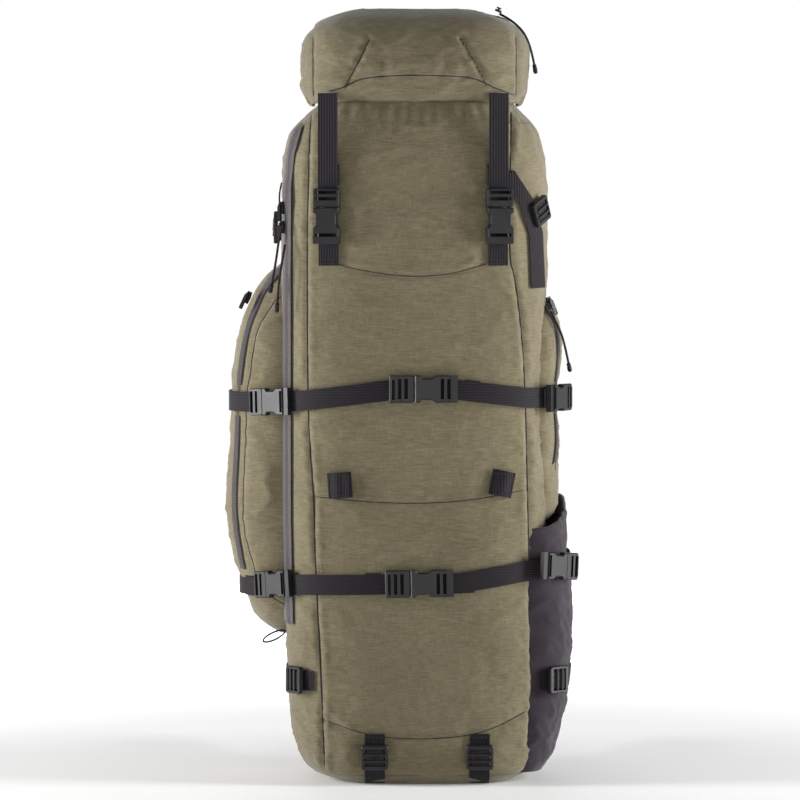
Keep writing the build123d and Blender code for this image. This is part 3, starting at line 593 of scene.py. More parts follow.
def bag_push(p):
    x, y, z = p
    pull = strap_pull(HARDWARE, p, 26)
    loose = min(1.0, z / 30) * min(1.0, max(0.0, (866 - z) / 26))
    push = 1.0 + wrinkle(p, 1.5, 4.0)
    if y > 95:
        push = 0.3 * push
        pull = max(pull, 0.5)
    if y < FRONT_Y:
        push += seam_push(x, z, FRONT_LINES)
    low = max(0.0, 1 - z / 260) * (1 if x < -60 else 0.35)
    push += 2.2 * low * crease(x / 60, y / 60, z / 13, 21.0)
    if z > 800:
        push += 1.3 * (z - 800) / 60 * math.sin(math.atan2(y - BAG_Y, x) * COLLAR_GATHERS)
    push = loose * push * (1 - pull) - 1.1 * pull
    return min(push, 6.5)


BAG_COUNT = 380
bag_heights = [*np.linspace(0, BASE_Z, 17), *np.arange(43, 852, 3.1), *np.linspace(853, 861, 4)]
bag_rows = pushed([bag_ring(z, 0, BAG_COUNT) for z in bag_heights], bag_heights, bag_push)


def panel_at(x, y, z, left, right):
    """The sewn panel at a point, between the front seams at x = left and x = right."""
    if z >= COLLAR_Z:
        return "collar"
    if z < BASE_Z or (y < FRONT_Y and -118 < x < 136 and z < np.interp(x, *zip(*HEM_SEAM))):
        return "bottom_panel"
    if y < FRONT_Y and left < x < right:
        return "front_panel"
    if y > BACK_Y and abs(x) < 130:
        return "back_panel"
    return "left_side_panel" if x < 0 else "right_side_panel"


def base_point(x, y, scale):
    """A point of the base, drawn in by scale and raised over the two straps that run under it."""
    x, y = 8 + (x - 8) * scale, BAG_Y + (y - BAG_Y) * scale
    over_strap = any(abs(x - strap) < 13.4 for strap in (-54, 77))
    return (x * MM, y * MM, 0.0024 if over_strap else 0.00005)


def split_panels():
    """The bag's outer skin, cut into its sewn panels."""
    points = np.array(bag_rows)
    middle = (points[:-1] + points[1:]) / 2
    names, count = {}, BAG_COUNT
    for j, z in enumerate(bag_heights[:-1]):
        left, right = (
            np.interp(-z, [-p[1] for p in line], [p[0] for p in line]) for line in (LEFT_SEAM, RIGHT_SEAM)
        )
        for i in range(count):
            names.setdefault(panel_at(*middle[j, i, :2], z, left, right), []).append((j, i))
    for key, cells in names.items():
        index, verts, faces = {}, [], []
        for j, i in cells:
            face = []
            for at in ((j, i), (j, (i + 1) % count), (j + 1, (i + 1) % count), (j + 1, i)):
                if at not in index:
                    index[at] = len(verts)
                    verts.append(tuple(v * MM for v in bag_rows[at[0]][at[1]]))
                face.append(index[at])
            faces.append(tuple(face))
        if key == "bottom_panel":
            outer = [index[(0, i)] for i in range(count)]
            for scale in (0.93, 0.8, 0.55, 0.25):
                inner = list(range(len(verts), len(verts) + count))
                verts += [base_point(x, y, scale) for x, y, _ in bag_rows[0]]
                for i in range(count):
                    k = (i + 1) % count
                    faces.append((outer[k], outer[i], inner[i], inner[k]))
                outer = inner
            faces.append(tuple(reversed(outer)))
        mesh = bpy.data.meshes.new(key + "_cloth")
        mesh.from_pydata(verts, [], faces)
        belong(finish_mesh(key + "_cloth", mesh, M_SHELL), "pack", "shell_fabric", key)


split_panels()


def bag_lining():
    """Rolled top edge and the lining inside."""
    heights = [861, 862.5, 862.5, 861, 850, 828, 780, 700, 600, 500, 400, 300, 200, 100, 60, 30, 14, 5]
    grows = [0, -1.0, -3.0, -4.5, -5, -5] + 12 * [-6]
    count = BAG_COUNT // 2
    rows = [[(x, y, z) for x, y in bag_ring(min(z, 861), grow, count)] for z, grow in zip(heights, grows)]
    rows[0] = bag_rows[-1][::2]
    belong(grid_object("bag_lining", rows, M_LINING, caps=(False, True)), "pack", "shell_fabric")


bag_lining()

# ------------------------------------------------------------------ lid
DART_LEFT = [(-61, 929), (-72, 905), (-90, 873)]
DART_RIGHT = [(52, 931), (68, 905), (84, 875)]
ARCH_X = [-146, -110, -92, -76, -60, -40, 0, 40, 66, 80, 96, 120, 146]
ARCH_Z = [862, 866, 870, 879, 882, 884, 885, 884, 882, 877, 869, 862, 858]


LID_SIDES = (-131.0, 122.0)
LID_LOW, LID_REAR_LOW, LID_TOP, LID_UNDER, LID_COUNT = 853, 866.6, 971, 866.9, 300


def lid_push(p):
    """Outward push of the lid's cloth: a puffed brim over the arched seam, a sunk skirt below it."""
    x, y, z = p
    pull = strap_pull(LID_HARDWARE, p, 20)
    push = 0.8 + wrinkle(p, 1.5, 31.0)
    if y < -70:
        arch = float(np.interp(x, ARCH_X, ARCH_Z))
        push += seam_push(x, z, [(DART_LEFT, 2.6), (DART_RIGHT, 2.6)])
        below = arch - z
        push -= 2.8 * math.exp(-((below / 2.6) ** 2))
        if below > 0:
            push -= 5.6 * (1 - math.exp(-below / 4.5))
            push += 1.6 * crease(x / 30, y / 30, z / 9, 5.0)
        else:
            lift = -below
            push += 3.4 * math.exp(-(((lift - 13) / 9.0) ** 2)) * (0.7 + 0.9 * fuzz(x / 17, 0, z / 30, 9.0))
            push += 1.8 * math.exp(-lift / 18) * math.sin(x / 6.0 + 2.0 * fuzz(x / 40, 0, 0, 2.0))
    for side in LID_SIDES:
        push -= 2.0 * math.exp(-(((x - side) / 2.6) ** 2)) * (1 if y < 20 else 0.0)
    return max(min(push * (1 - pull) - 0.9 * pull, 6.5), -7.0)


def drawn_in(x, y, scale):
    """A point moved towards the lid's middle."""
    return LID_X + (x - LID_X) * scale, LID_Y + (y - LID_Y) * scale


def lid_cloth():
    """The lid, higher at the rear than at the front, with its top and its hollow underside."""
    rows = []
    for t in np.linspace(0, 1, 46):
        row = []
        for _, y in lid_ring(LID_LOW + t * (LID_TOP - LID_LOW), 0, LID_COUNT):
            s = min(1.0, max(0.0, (y - 30) / 32))
            low = LID_LOW + (LID_REAR_LOW - LID_LOW) * s * s * (3 - 2 * s)
            row.append(low + (LID_TOP - low) * t)
        rows.append(row)
    rings = {z: lid_ring(z, 0, LID_COUNT) for z in sorted({round(z, 1) for row in rows for z in row})}
    points = []
    for row in rows:
        line = np.array([rings[round(z, 1)][i] for i, z in enumerate(row)])
        placed = []
        for (x, y), (nx, ny), z in zip(line, outward(line), row):
            slope = max(0.0, (z - 944) / 27)
            d = lid_push((x, y, z))
            level = d * (1 - 0.6 * slope)
            placed.append((x + nx * level, y + ny * level, z + d * 0.5 * slope))
        points.append(placed)
    top = points[-1]
    for scale in (0.93, 0.82, 0.68, 0.5, 0.32, 0.12):
        inner = [drawn_in(x, y, scale) for x, y, _ in top]
        points.append([
            (x, y, LID_TOP + 2.0 * (1 - scale) + 0.7 * wrinkle((x, y, LID_TOP), 0.8, 12.0)) for x, y in inner
        ])
    under = []
    for grow, lift in ((-2.0, -0.6), (-4.5, 0.0), (-6, 6), (-8, 10.2)):
        row = []
        for i, z in enumerate(rows[0]):
            x, y = rings[round(z, 1)][i]
            r = math.hypot(x - LID_X, y - LID_Y)
            height = min(z + lift, LID_UNDER) if z < 860 else z + max(lift, 0.1) * 0.1
            row.append((*drawn_in(x, y, (r + grow) / r), height))
        under.append(row)
    inner = [(*drawn_in(x, y, 0.3), LID_UNDER) for x, y, _ in under[-1]]
    lid = grid_object("lid_cloth", [inner] + under[::-1] + points, M_LID_PAINTED_SHADE, caps=(True, True))
    belong(lid, "lid", "lid_fabric", "lid_pocket")


lid_cloth()

# ------------------------------------------------------------------ side pockets
def pocket_cloth(name, node, table, place, seed, push_more):
    """A stuffed side pocket, flattened under the straps and closed at both ends."""
    low, high = table[0, 0], table[-1, 0]
    heights = [*np.arange(low, high, 3.0), high]

    def push(p):
        pull = strap_pull(HARDWARE, p, 24)
        edge = max(0.0, min(1.0, (p[2] - low) / 14, (high - p[2]) / 14))
        d = (0.8 + wrinkle(p, 1.7, seed) + push_more(p)) * edge
        return min(d * (1 - pull) - 1.0 * pull, 6.5)

    rows = pushed([pocket_ring(table, place, z, 0, 200) for z in heights], heights, push)
    x0, y0 = place[:2]
    ends = [
        [
            [(x0 + (x - x0) * k, y0 + (y - y0) * k, z + (1 - k) * lift) for x, y, z in row]
            for k in (0.8, 0.5, 0.2)
        ]
        for row, lift in ((rows[0], -2.0), (rows[-1], 2.0))
    ]
    made = grid_object(name, ends[0][::-1] + rows + ends[1], M_SHELL, caps=(True, True))
    trim_inside(made, 2.2)
    belong(made, "pack", "shell_fabric", node)


def trim_inside(piece, depth):
    """Removes the faces that lie inside the bag."""
    work = bmesh.new()
    work.from_mesh(piece.data)
    gone = [f for f in work.faces if inside_bag([v / MM for v in f.calc_center_median()], -depth) < 1]
    bmesh.ops.delete(work, geom=gone, context="FACES")
    work.to_mesh(piece.data)
    work.free()


def left_more(p):
    """Gathers at the left pocket's lower end, and the dip of its front seam."""
    x, y, z = p
    low = max(0.0, 1 - (z - 182) / 130)
    seam = math.exp(-(((y - LEFT_POCKET_SEAMS[0]) / 3.0) ** 2))
    return 1.6 * low * crease(x / 50, y / 50, z / 14, 3.0) - 1.8 * seam


def right_more(p):
    return 1.2 * crease(p[0] / 30, p[1] / 30, p[2] / 18, 8.0)


LEFT_POCKET_SEAMS, RIGHT_POCKET_SEAMS = (-62, 70), (-70, 60)
LEFT_PLACE, RIGHT_PLACE, SLEEVE_PLACE = (-150.0, 8.0, 2.6), (135.0, -12.0, 3.6), (125.0, -12.0, 3.0)
pocket_cloth("left_pocket_cloth", "left_side_pocket", LEFT_POCKET, LEFT_PLACE, 51.0, left_more)
pocket_cloth("right_pocket_cloth", "right_side_pocket", RIGHT_POCKET, RIGHT_PLACE, 61.0, right_more)
SLEEVE_LOW, SLEEVE_RISE, SLEEVE_WALL, HEM_DEPTH = 13, 330, 2.4, 24


def hem_z(y):
    """Height of the stretch pocket's open edge, lowest at the front."""
    return float(np.interp(y, [-130, -30, 120], [318, 352, 358]))


def sleeve_push(x, y, z):
    """Outward push of the stretch cloth: slanting tension folds, a fan of them low down, and the hem."""
    pull = strap_pull(HARDWARE, (x, y, z), 22)
    slant = crease((x + y - z * 0.5) / 46, y / 90, (z + 0.9 * y) / 20, 4.0)
    fan = crease((y + 12) / 60, 0.0, (z - 1.3 * abs(y + 40)) / 26, 14.0) * max(0.0, 1 - z / 240)
    push = 0.6 + 2.4 * slant + 3.0 * fan + 0.9 * fuzz(x / 40, y / 40, z / 40, 6.0)
    below = hem_z(y) - z
    push -= 2.6 * math.exp(-(((below - HEM_DEPTH) / 1.8) ** 2))
    push += 1.2 * math.exp(-(((below - HEM_DEPTH / 2) / 8.0) ** 2))
    push *= min(1.0, (z - SLEEVE_LOW) / 18)
    return min(push * (1 - pull) - 0.9 * pull, 5.0)


def stretch_sleeve():
    """Open stretch pocket with an inner face and a rounded rim."""
    outer, inner = [], []
    x0 = SLEEVE_PLACE[0]
    for t in np.linspace(0, 1, 96):
        level = SLEEVE_LOW + t * SLEEVE_RISE
        line = pocket_ring(SLEEVE, SLEEVE_PLACE, level, 0, 220)
        row, back = [], []
        for (x, y), (nx, ny) in zip(line, outward(line)):
            z = SLEEVE_LOW + (hem_z(y) - SLEEVE_LOW) * t
            x = x0 + (x - x0) * smooth_at(SLEEVE, z)[0] / smooth_at(SLEEVE, level)[0]
            push = sleeve_push(x, y, z)
            row.append((x + nx * push, y + ny * push, z))
            back.append((x + nx * (push - SLEEVE_WALL), y + ny * (push - SLEEVE_WALL), z))
        outer.append(row)
        inner.append(back)
    rim = [((a[0] + b[0]) / 2, (a[1] + b[1]) / 2, a[2] + 0.9) for a, b in zip(outer[-1], inner[-1])]
    sleeve = grid_object("stretch_pocket_cloth", outer + [rim] + inner[::-1], M_STRETCH)
    trim_inside(sleeve, 1.5)
    belong(sleeve, "pack", "stretch_fabric", "stretch_pocket")


stretch_sleeve()

# ------------------------------------------------------------------ lines laid on the sewn surfaces
def spaced(points, step):
    """Points evenly spaced along a broken line, ends kept."""
    points = [Vector(p) for p in points]
    runs = [(b - a).length for a, b in zip(points, points[1:])]
    total = sum(runs)
    count = max(2, round(total / step))
    out, i, done = [], 0, 0.0
    for k in range(count + 1):
        at = total * k / count
        while i < len(runs) - 1 and at > done + runs[i]:
            done += runs[i]
            i += 1
        out.append(points[i].lerp(points[i + 1], min(1.0, (at - done) / max(runs[i], 1e-9))))
    return out


def rounded(points, passes=2):
    """A broken line with its corners cut off, a few times over."""
    points = [Vector(p) for p in points]
    for _ in range(passes):
        cut = [points[0]]
        for a, b in zip(points, points[1:]):
            cut += [a.lerp(b, 0.25), a.lerp(b, 0.75)]
        points = cut + [points[-1]]
    return points


def laid(points, aim, tree, step=3.0):
    """Points in mm cast along aim onto a surface: a list of (place, normal)."""
    path = []
    aim = Vector(aim).normalized()
    for p in spaced(points, step):
        hit = tree.ray_cast(p * MM, aim)
        if hit[0] is None:
            continue
        normal = hit[1] if hit[1].dot(aim) < 0 else -hit[1]
        path.append((hit[0] / MM, normal))
    return path


def front(line):
    """A seam seen square on, softened and held before the bag."""
    return rounded([(x, -420, z) for x, z in line])


FORWARD, LEFTWARD, RIGHTWARD, INTO_BACK, DOWN = (0, 1, 0), (1, 0, 0), (-1, 0, 0), (0, -1, 0), (0, 0, -1)


def frames(path):
    """Tangent, side and normal at each place of a laid path."""
    out = []
    for i, (place, normal) in enumerate(path):
        ahead, behind = path[min(i + 1, len(path) - 1)][0], path[max(i - 1, 0)][0]
        tangent = (ahead - behind).normalized()
        side = normal.cross(tangent).normalized()
        out.append((place, tangent, side, tangent.cross(side).normalized() * -1))
    return out


class Heap:
    """Many small closed pieces gathered into one object."""

    def __init__(self):
        self.verts, self.faces = [], []

    def rings(self, rows):
        """A closed tube through rows of points in mm, with flat ends."""
        base, count = len(self.verts), len(rows[0])
        for row in rows:
            self.verts += [tuple(Vector(v) * MM) for v in row]
        for j in range(len(rows) - 1):
            for i in range(count):
                k = (i + 1) % count
                a, b = base + j * count, base + (j + 1) * count
                self.faces.append((a + i, a + k, b + k, b + i))
        self.faces.append(tuple(base + i for i in reversed(range(count))))
        self.faces.append(tuple(base + (len(rows) - 1) * count + i for i in range(count)))

    def tube(self, path, radius, flat, lift=0.0):
        """Cording along a path, flattened towards the cloth."""
        rows = []
        for place, _, side, normal in frames(path):
            rows.append([
                place + normal * (lift + radius * flat * math.sin(a)) + side * (radius * math.cos(a))
                for a in (math.pi * k / 4 for k in range(8))
            ])
        if len(rows) > 1:
            self.rings(rows)

    def strip(self, path, width, thick, lift=0.0, edge=0.5):
        """Flat webbing with rounded edges along a path."""
        w, t = width / 2, thick / 2
        outline = [(-w, 0), (-w + edge, t), (w - edge, t), (w, 0), (w - edge, -t), (-w + edge, -t)]
        rows = []
        for place, _, side, normal in frames(path):
            rows.append([place + side * u + normal * (lift + v) for u, v in outline])
        if len(rows) > 1:
            self.rings(rows)

    def stitches(self, path, aside=0.0, length=3.0, pitch=4.6, radius=0.42, across=0.0, lift=0.0):
        """Stitches lying along a path, beside it by aside; across lays them over it instead."""
        run = 0.0
        places = frames(path)
        for a, b in zip(places, places[1:]):
            gap = (b[0] - a[0]).length
            while run < gap:
                t = run / gap if gap else 0
                place = a[0].lerp(b[0], t) + a[2] * aside + a[3] * lift
                along = a[2] if across else a[1]
                over = a[1] if across else a[2]
                reach = (across or length) / 2
                rows = []
                for u, r in ((-1, 0.35), (-0.8, 0.9), (0, 1.15), (0.8, 0.9), (1, 0.35)):
                    dip = -0.35 * abs(u) ** 3
                    rows.append([
                        place + along * (u * reach) + a[3] * (dip + radius * r * math.sin(q))
                        + over * (radius * r * math.cos(q))
                        for q in (2 * math.pi * k / 5 for k in range(5))
                    ])
                self.rings(rows)
                run += pitch
            run -= gap

    def coil(self, path):
        """The two rows of a zipper's teeth along its middle."""
        for side in (0.85, -0.85):
            self.stitches(path, side, pitch=1.5, radius=0.5, across=1.9, lift=0.35)

    def make(self, name, material, body, slot):
        mesh = bpy.data.meshes.new(name)
        mesh.from_pydata(self.verts, [], self.faces)
        belong(finish_mesh(name, mesh, material), body, slot)


CLOTH = {o.name: o for o in bpy.context.scene.objects}
BAG_TREE = search_tree(*[CLOTH[n + "_cloth"] for n in (
    "front_panel", "back_panel", "left_side_panel", "right_side_panel", "bottom_panel", "collar"
)])
LEFT_TREE = search_tree(CLOTH["left_pocket_cloth"])
RIGHT_TREE = search_tree(CLOTH["right_pocket_cloth"])
SLEEVE_TREE = search_tree(CLOTH["stretch_pocket_cloth"])
LID_TREE = search_tree(CLOTH["lid_cloth"])


def bag_seams():
    """Corded seams and twin rows of stitches where the panels meet."""
    cording, thread = Heap(), Heap()
    for line in (LEFT_SEAM, RIGHT_SEAM):
        path = laid(front(line), FORWARD, BAG_TREE)
        cording.tube(path, 1.15, 0.8, lift=0.2)
        side = 5.0 if line is LEFT_SEAM else -5.0
        thread.stitches(path, side, lift=0.25)
        thread.stitches(path, side * 1.9, lift=0.2)
    for line in (UPPER_SEAM, MIDDLE_SEAM, HEM_SEAM):
        path = laid(front(line), FORWARD, BAG_TREE)
        cording.tube(path, 0.7, 0.7, lift=0.0)
        thread.stitches(path, 3.6, lift=0.25)
        if line is not UPPER_SEAM:
            thread.stitches(path, 7.4, lift=0.25)
    for x in (-122, 112):
        path = laid([(x, 420, 20), (x, 420, 845)], INTO_BACK, BAG_TREE, 4.0)
        cording.tube(path, 1.2, 0.8, lift=0.2)
    for z in (12, 828):
        hoop = [
            (Vector((x, y, z)), Vector((x - LID_X, y - LID_Y, 0)).normalized())
            for x, y in bag_ring(z, 1.0, 240)
        ]
        thread.stitches(hoop + hoop[:1], lift=0.7)
    cording.make("bag_seam_cording", M_THREAD_DARK, "pack", "shell_fabric")
    thread.make("bag_seam_stitching", M_THREAD, "pack", "shell_fabric")


bag_seams()


def lid_seams():
    """Darts, the arched front seam and the seams of the side gussets."""
    cording, thread = Heap(), Heap()
    for line in (DART_LEFT, DART_RIGHT):
        path = laid(front(line), FORWARD, LID_TREE)
        cording.tube(path, 0.6, 0.7)
        thread.stitches(path, 3.2, lift=0.25)
        thread.stitches(path, -3.2, lift=0.25)
    arch = [(x, z + 0.6) for x, z in zip(ARCH_X, ARCH_Z) if abs(x) < 135]
    path = laid(front(arch), FORWARD, LID_TREE)
    cording.tube(path, 1.2, 0.9, lift=0.4)
    thread.stitches(path, 4.4, lift=0.25)
    for x in LID_SIDES:
        for points, aim in (
            ([(x, -420, 862), (x, -420, 935)], FORWARD),
            ([(x * 0.985, 420, 872), (x * 0.985, 420, 935)], INTO_BACK),
        ):
            path = laid(points, aim, LID_TREE)
            cording.tube(path, 1.0, 0.8, lift=0.2)
    cording.make("lid_seam_cording", M_THREAD_DARK, "lid", "lid_fabric")
    thread.make("lid_seam_stitching", M_THREAD, "lid", "lid_fabric")


lid_seams()


def pocket_seams():
    """Edge seams of the side pockets, and the sleeve's turned hem."""
    cording, thread, hem = Heap(), Heap(), Heap()
    for x, aim, tree, seams, low, high in (
        (-420, LEFTWARD, LEFT_TREE, LEFT_POCKET_SEAMS, 205, 640),
        (420, RIGHTWARD, RIGHT_TREE, RIGHT_POCKET_SEAMS, 392, 604),
    ):
        for y in seams:
            path = laid([(x, y, low), (x, y, high)], aim, tree)
            cording.tube(path, 0.9, 0.8, lift=0.1)
            thread.stitches(path, -3.8 if x < 0 < y else 3.8, lift=0.25)
    path = laid([(420, y, hem_z(y) - HEM_DEPTH) for y in range(-104, 84, 8)], RIGHTWARD, SLEEVE_TREE)
    for aside in (0.0, 4.0):
        hem.stitches(path, aside, lift=0.3)
    cording.make("pocket_seam_cording", M_THREAD_DARK, "pack", "shell_fabric")
    thread.make("pocket_seam_stitching", M_THREAD, "pack", "shell_fabric")
    hem.make("sleeve_hem_stitching", M_THREAD_DARK, "pack", "stretch_fabric")


pocket_seams()


# ------------------------------------------------------------------ zipper teeth and webbing details
def zipper_teeth():
    """Two rows of coil teeth down the middle of each tape, with a stitched edge each side."""
    coil, thread, lid_coil = Heap(), Heap(), Heap()
    long_zip = [(-150, 826), (-160, 790), (-164, 750), (-164.5, 640), (-164.5, 330), (-162, 200)]
    left_zip = [(-420, -47, 604), (-420, -50, 540), (-420, -50, 290), (-420, -42, 230)]
    right_zip = [(420, -60, 606), (420, -76, 588), (420, -80, 560), (420, -80, 402)]
    for line, aim, node in (
        ([(x, -420, z) for x, z in long_zip], FORWARD, "side_zipper"),
        (left_zip, LEFTWARD, "pocket_zippers"),
        (right_zip, RIGHTWARD, "pocket_zippers"),
    ):
        path = laid(line, aim, cad_tree(node))
        coil.coil(path)
        for side in (3.6, -3.6):
            thread.stitches(path, side, pitch=3.6, length=2.4, radius=0.3, lift=0.15)
    lid_coil.coil(laid([(101, -94, 1100), (101, 50, 1100)], DOWN, cad_tree("lid_zipper")))
    coil.make("zipper_teeth", M_COIL, "pack", "zipper_tape")
    thread.make("zipper_stitching", M_THREAD_DARK, "pack", "zipper_tape")
    lid_coil.make("lid_zipper_teeth", M_COIL, "lid", "zipper_tape")


zipper_teeth()


WEBBING_W, LOCK_HALF = 25.0, 11.5
FOLDS = (  # body, then x and z where the doubled webbing starts and ends
    ("pack", -36, 495.5, -66, 491.5), ("mid_center_release", 57, 496.0, 76, 494.0),
    ("pack", -46, 255.0, -66, 255.0), ("lower_center_release", 47, 255.0, 70, 256.0),
    ("pack", -213, 478, -222, 478), ("pack", -208, 245, -219, 245),
)
TACKS = (  # x, z and half length of each bar tack
    *[(x, z, 10) for x in (-111, 99) for z in (653, 657)],
    *[(x, z + dz, 11) for x, z in ((-97, 377), (104, 379)) for dz in (12.5, -12.5)],
    *[(x, 62, 10) for x in (-54, 77)],
)


def webbing_details():
    """Doubled webbing at the buckles, bar tacks, and the lid straps' folded ends."""
    level = cad_tree("mid_strap_webbing", "lower_strap_webbing")
    folds = {}
    for body, x0, z0, x1, z1 in FOLDS:
        path = laid([(x0, -420, z0), (x1, -420, z1)], FORWARD, level)
        folds.setdefault(body, Heap()).strip(path, 25.4, 2.6, lift=1.5)
    for body, heap in folds.items():
        heap.make(f"{body}_webbing_fold", M_WEB_H, body, "webbing")
    tacks, keepers = Heap(), Heap()
    anchors = cad_tree("lid_anchor_webbing", "webbing_loops", "bottom_strap_webbing")
    for x, z, half in TACKS:
        path = laid([(x - half, -420, z), (x + half, -420, z)], FORWARD, anchors, 2.0)
        tacks.stitches(path, pitch=1.7, radius=0.35, across=3.0, lift=0.1)
    tacks.make("webbing_tacks", M_THREAD_DARK, "pack", "webbing")
    lid_web = cad_tree("lid_webbing")
    for x in (-111, 99):
        path = laid([(x, -420, 775), (x, -420, 750)], FORWARD, lid_web)
        keepers.strip(path, 27.5, 3.4, lift=2.0, edge=1.2)
    keepers.make("lid_strap_folds", M_WEB_V, "lid", "webbing")


webbing_details()


def islands(mesh):
    """The separate closed pieces of a mesh, each as its points in mm."""
    owner = list(range(len(mesh.vertices)))

    def root(i):
        while owner[i] != i:
            owner[i] = owner[owner[i]]
            i = owner[i]
        return i

    first = {}
    joined = [tuple(edge.vertices) for edge in mesh.edges]
    joined += [(first.setdefault(tuple(round(c, 6) for c in v.co), v.index), v.index) for v in mesh.vertices]
    for i, j in joined:
        a, b = root(i), root(j)
        if a != b:
            owner[a] = b
    groups = {}
    for v in mesh.vertices:
        groups.setdefault(root(v.index), []).append([c / MM for c in v.co])
    return [np.array(points) for points in groups.values()]


def flat_axes(points):
    """A flat piece's two edge directions and its normal: the axes of its smallest flat box."""
    flat = points - points.mean(axis=0)
    u, v, normal = np.linalg.svd(flat, full_matrices=False)[2]
    turns = []
    for turn in np.radians(np.arange(0, 90, 1.5)):
        along = u * math.cos(turn) + v * math.sin(turn)
        across = v * math.cos(turn) - u * math.sin(turn)
        turns.append((np.ptp(flat @ along) * np.ptp(flat @ across), along, across))
    return (*min(turns, key=lambda t: t[0])[1:], normal)


def lock_webbing():
    """The webbing that shows in the slots of the ladder locks."""
    heap = Heap()
    for points in islands(NODES["ladder_locks"].data):
        axes = flat_axes(points)
        centre = points.mean(axis=0)
        for axis in axes:
            reach = points @ axis
            centre += axis * ((reach.max() + reach.min()) / 2 - centre @ axis)
        path = [(Vector(centre + axes[0] * t), Vector(axes[2])) for t in (-LOCK_HALF, 0.0, LOCK_HALF)]
        heap.strip(path, WEBBING_W, 1.6)
    heap.make("ladder_locks_webbing", M_WEB_H, "pack", "webbing")


lock_webbing()

# ------------------------------------------------------------------ pull cords: body, route and length
CORDS = {
    "side_zip_cord_upper": (
        "side_zip_upper", [(-169, -117, 700), (-173, -122, 688), (-178, -121, 650), (-184, -116, 621)], 0.082,
    ),
    "side_zip_cord_lower": (
        "side_zip_lower", [(-166, -124, 676), (-168, -130, 664), (-174, -131, 628), (-176, -127, 597)], 0.081,
    ),
    "right_pocket_cord": (
        "right_pocket_zip", [(167, -83, 592), (173, -89, 580), (184, -85, 556), (191, -71, 521)], 0.080,
    ),
    "lid_cord": (
        "lid_zip_slider", [(103, -58, 966.5), (122, -66, 957), (142, -62, 931), (148, -50, 897)], 0.09,
    ),
}
KNOT = [
    (-7, 1.5), (-6, 2.3), (-4, 2.7), (-2, 2.4), (-0.6, 2.9), (1.5, 2.6), (3, 2.9), (4.5, 2.4), (5.5, 1.2),
]


def cord_knot(name, place, direction):
    """The knot at a cord's end, from (distance along, radius), with lumps that turn round it."""
    rows = []
    turn = direction.normalized().to_track_quat("Z", "Y").to_matrix()
    for along, radius in KNOT:
        row = []
        for i in range(20):
            a = 2 * math.pi * i / 20
            r = radius * (1 + 0.08 * math.sin(along * 2.6 + a * 3))
            row.append(place + turn @ Vector((r * math.cos(a), r * math.sin(a), along)))
        rows.append(row)
    return grid_object(name, rows, M_CORD, caps=(True, True))


def pull_cord(name, body, points):
    """A hanging cord along its route, ending in a knot."""
    curve = bpy.data.curves.new(name + "_line", "CURVE")
    curve.dimensions = "3D"
    spline = curve.splines.new("NURBS")
    spline.points.add(len(points) - 1)
    for knot, p in zip(spline.points, points):
        knot.co = (p[0] * MM, p[1] * MM, p[2] * MM, 1)
    spline.order_u = 3
    spline.use_endpoint_u = True
    spline.resolution_u = 24
    curve.bevel_depth = 1.5 * MM
    curve.bevel_resolution = 5
    curve.use_fill_caps = True
    curve.materials.append(M_CORD)
    line = bpy.data.objects.new(name + "_line", curve)
    bpy.context.scene.collection.objects.link(line)
    end = Vector(points[-1])
    knot = cord_knot(name + "_knot", end, end - Vector(points[-2]))
    belong(line, body, "cord", name)
    belong(knot, body, "cord")


for name, (body, points, length) in CORDS.items():
    pull_cord(name, body, points)

# ------------------------------------------------------------------ padded harness
PAD_VOXEL, PAD_SKIN, PAD_SWELL = 5.0, 2.4, 5.5
BACK_FACE, BACK_PAD_X, BACK_PAD_Z, BACK_PAD_SIZE = 121.9, 54.0, 462.0, (84.0, 404.0, 30.0)
LUMBAR_Z, LUMBAR_SIZE = 125.0, (112.0, 124.0, 34.0)
SHOULDER_X, SHOULDER_HALF = 76.0, 32.0
SHOULDER_LINE = [
    (130, 690), (140, 732), (165, 766), (198, 752), (217, 700), (222, 630), (212, 530), (190, 420),
    (168, 345),
]
BELT_Y, BELT_R = 285.0, 150.0
QUILT_BACK = (330, 396, 462, 528, 594)
QUILT_LUMBAR = (104, 146)


def smooth_line(points, steps=10):
    """A smooth curve through points, as closely spaced points."""
    pts = [Vector(p) for p in points]
    pts = [2 * pts[0] - pts[1]] + pts + [2 * pts[-1] - pts[-2]]
    out = []
    for a, b, c, d in zip(pts, pts[1:], pts[2:], pts[3:]):
        for k in range(steps):
            t = k / steps
            square, cube = 2 * a - 5 * b + 4 * c - d, 3 * b - a - 3 * c + d
            out.append(0.5 * (2 * b + (c - a) * t + square * t**2 + cube * t**3))
    return out + [pts[-2]]


def round_frame(x, z, size, y, inset=0.0):
    """Places and outward directions around a rounded rectangle that faces back, at depth y."""
    w, h, r = size[0] / 2 - inset, size[1] / 2 - inset, size[2] - inset
    path = []
    for cx, cz, first in ((w - r, h - r, 0), (r - w, h - r, 90), (r - w, r - h, 180), (w - r, r - h, 270)):
        for k in range(9):
            a = math.radians(first + k * 11.25)
            out = Vector((math.cos(a), 0, math.sin(a)))
            path.append((Vector((x + cx, y, z + cz)) + out * r, out))
    path.append(path[0])
    return path


def belt_point(sign, angle, z):
    a = math.radians(angle)
    return Vector((sign * BELT_R * math.sin(a), BELT_Y - BELT_R * math.cos(a), z))


def belt_edges(x):
    """Lower and upper edge of a hip wing at a distance x from the middle."""
    high = 152.0 if x < 110 else 152.0 - 27.0 * (x - 110) / 60
    return 54.0 + 6.0 * (x - 40) / 130, high


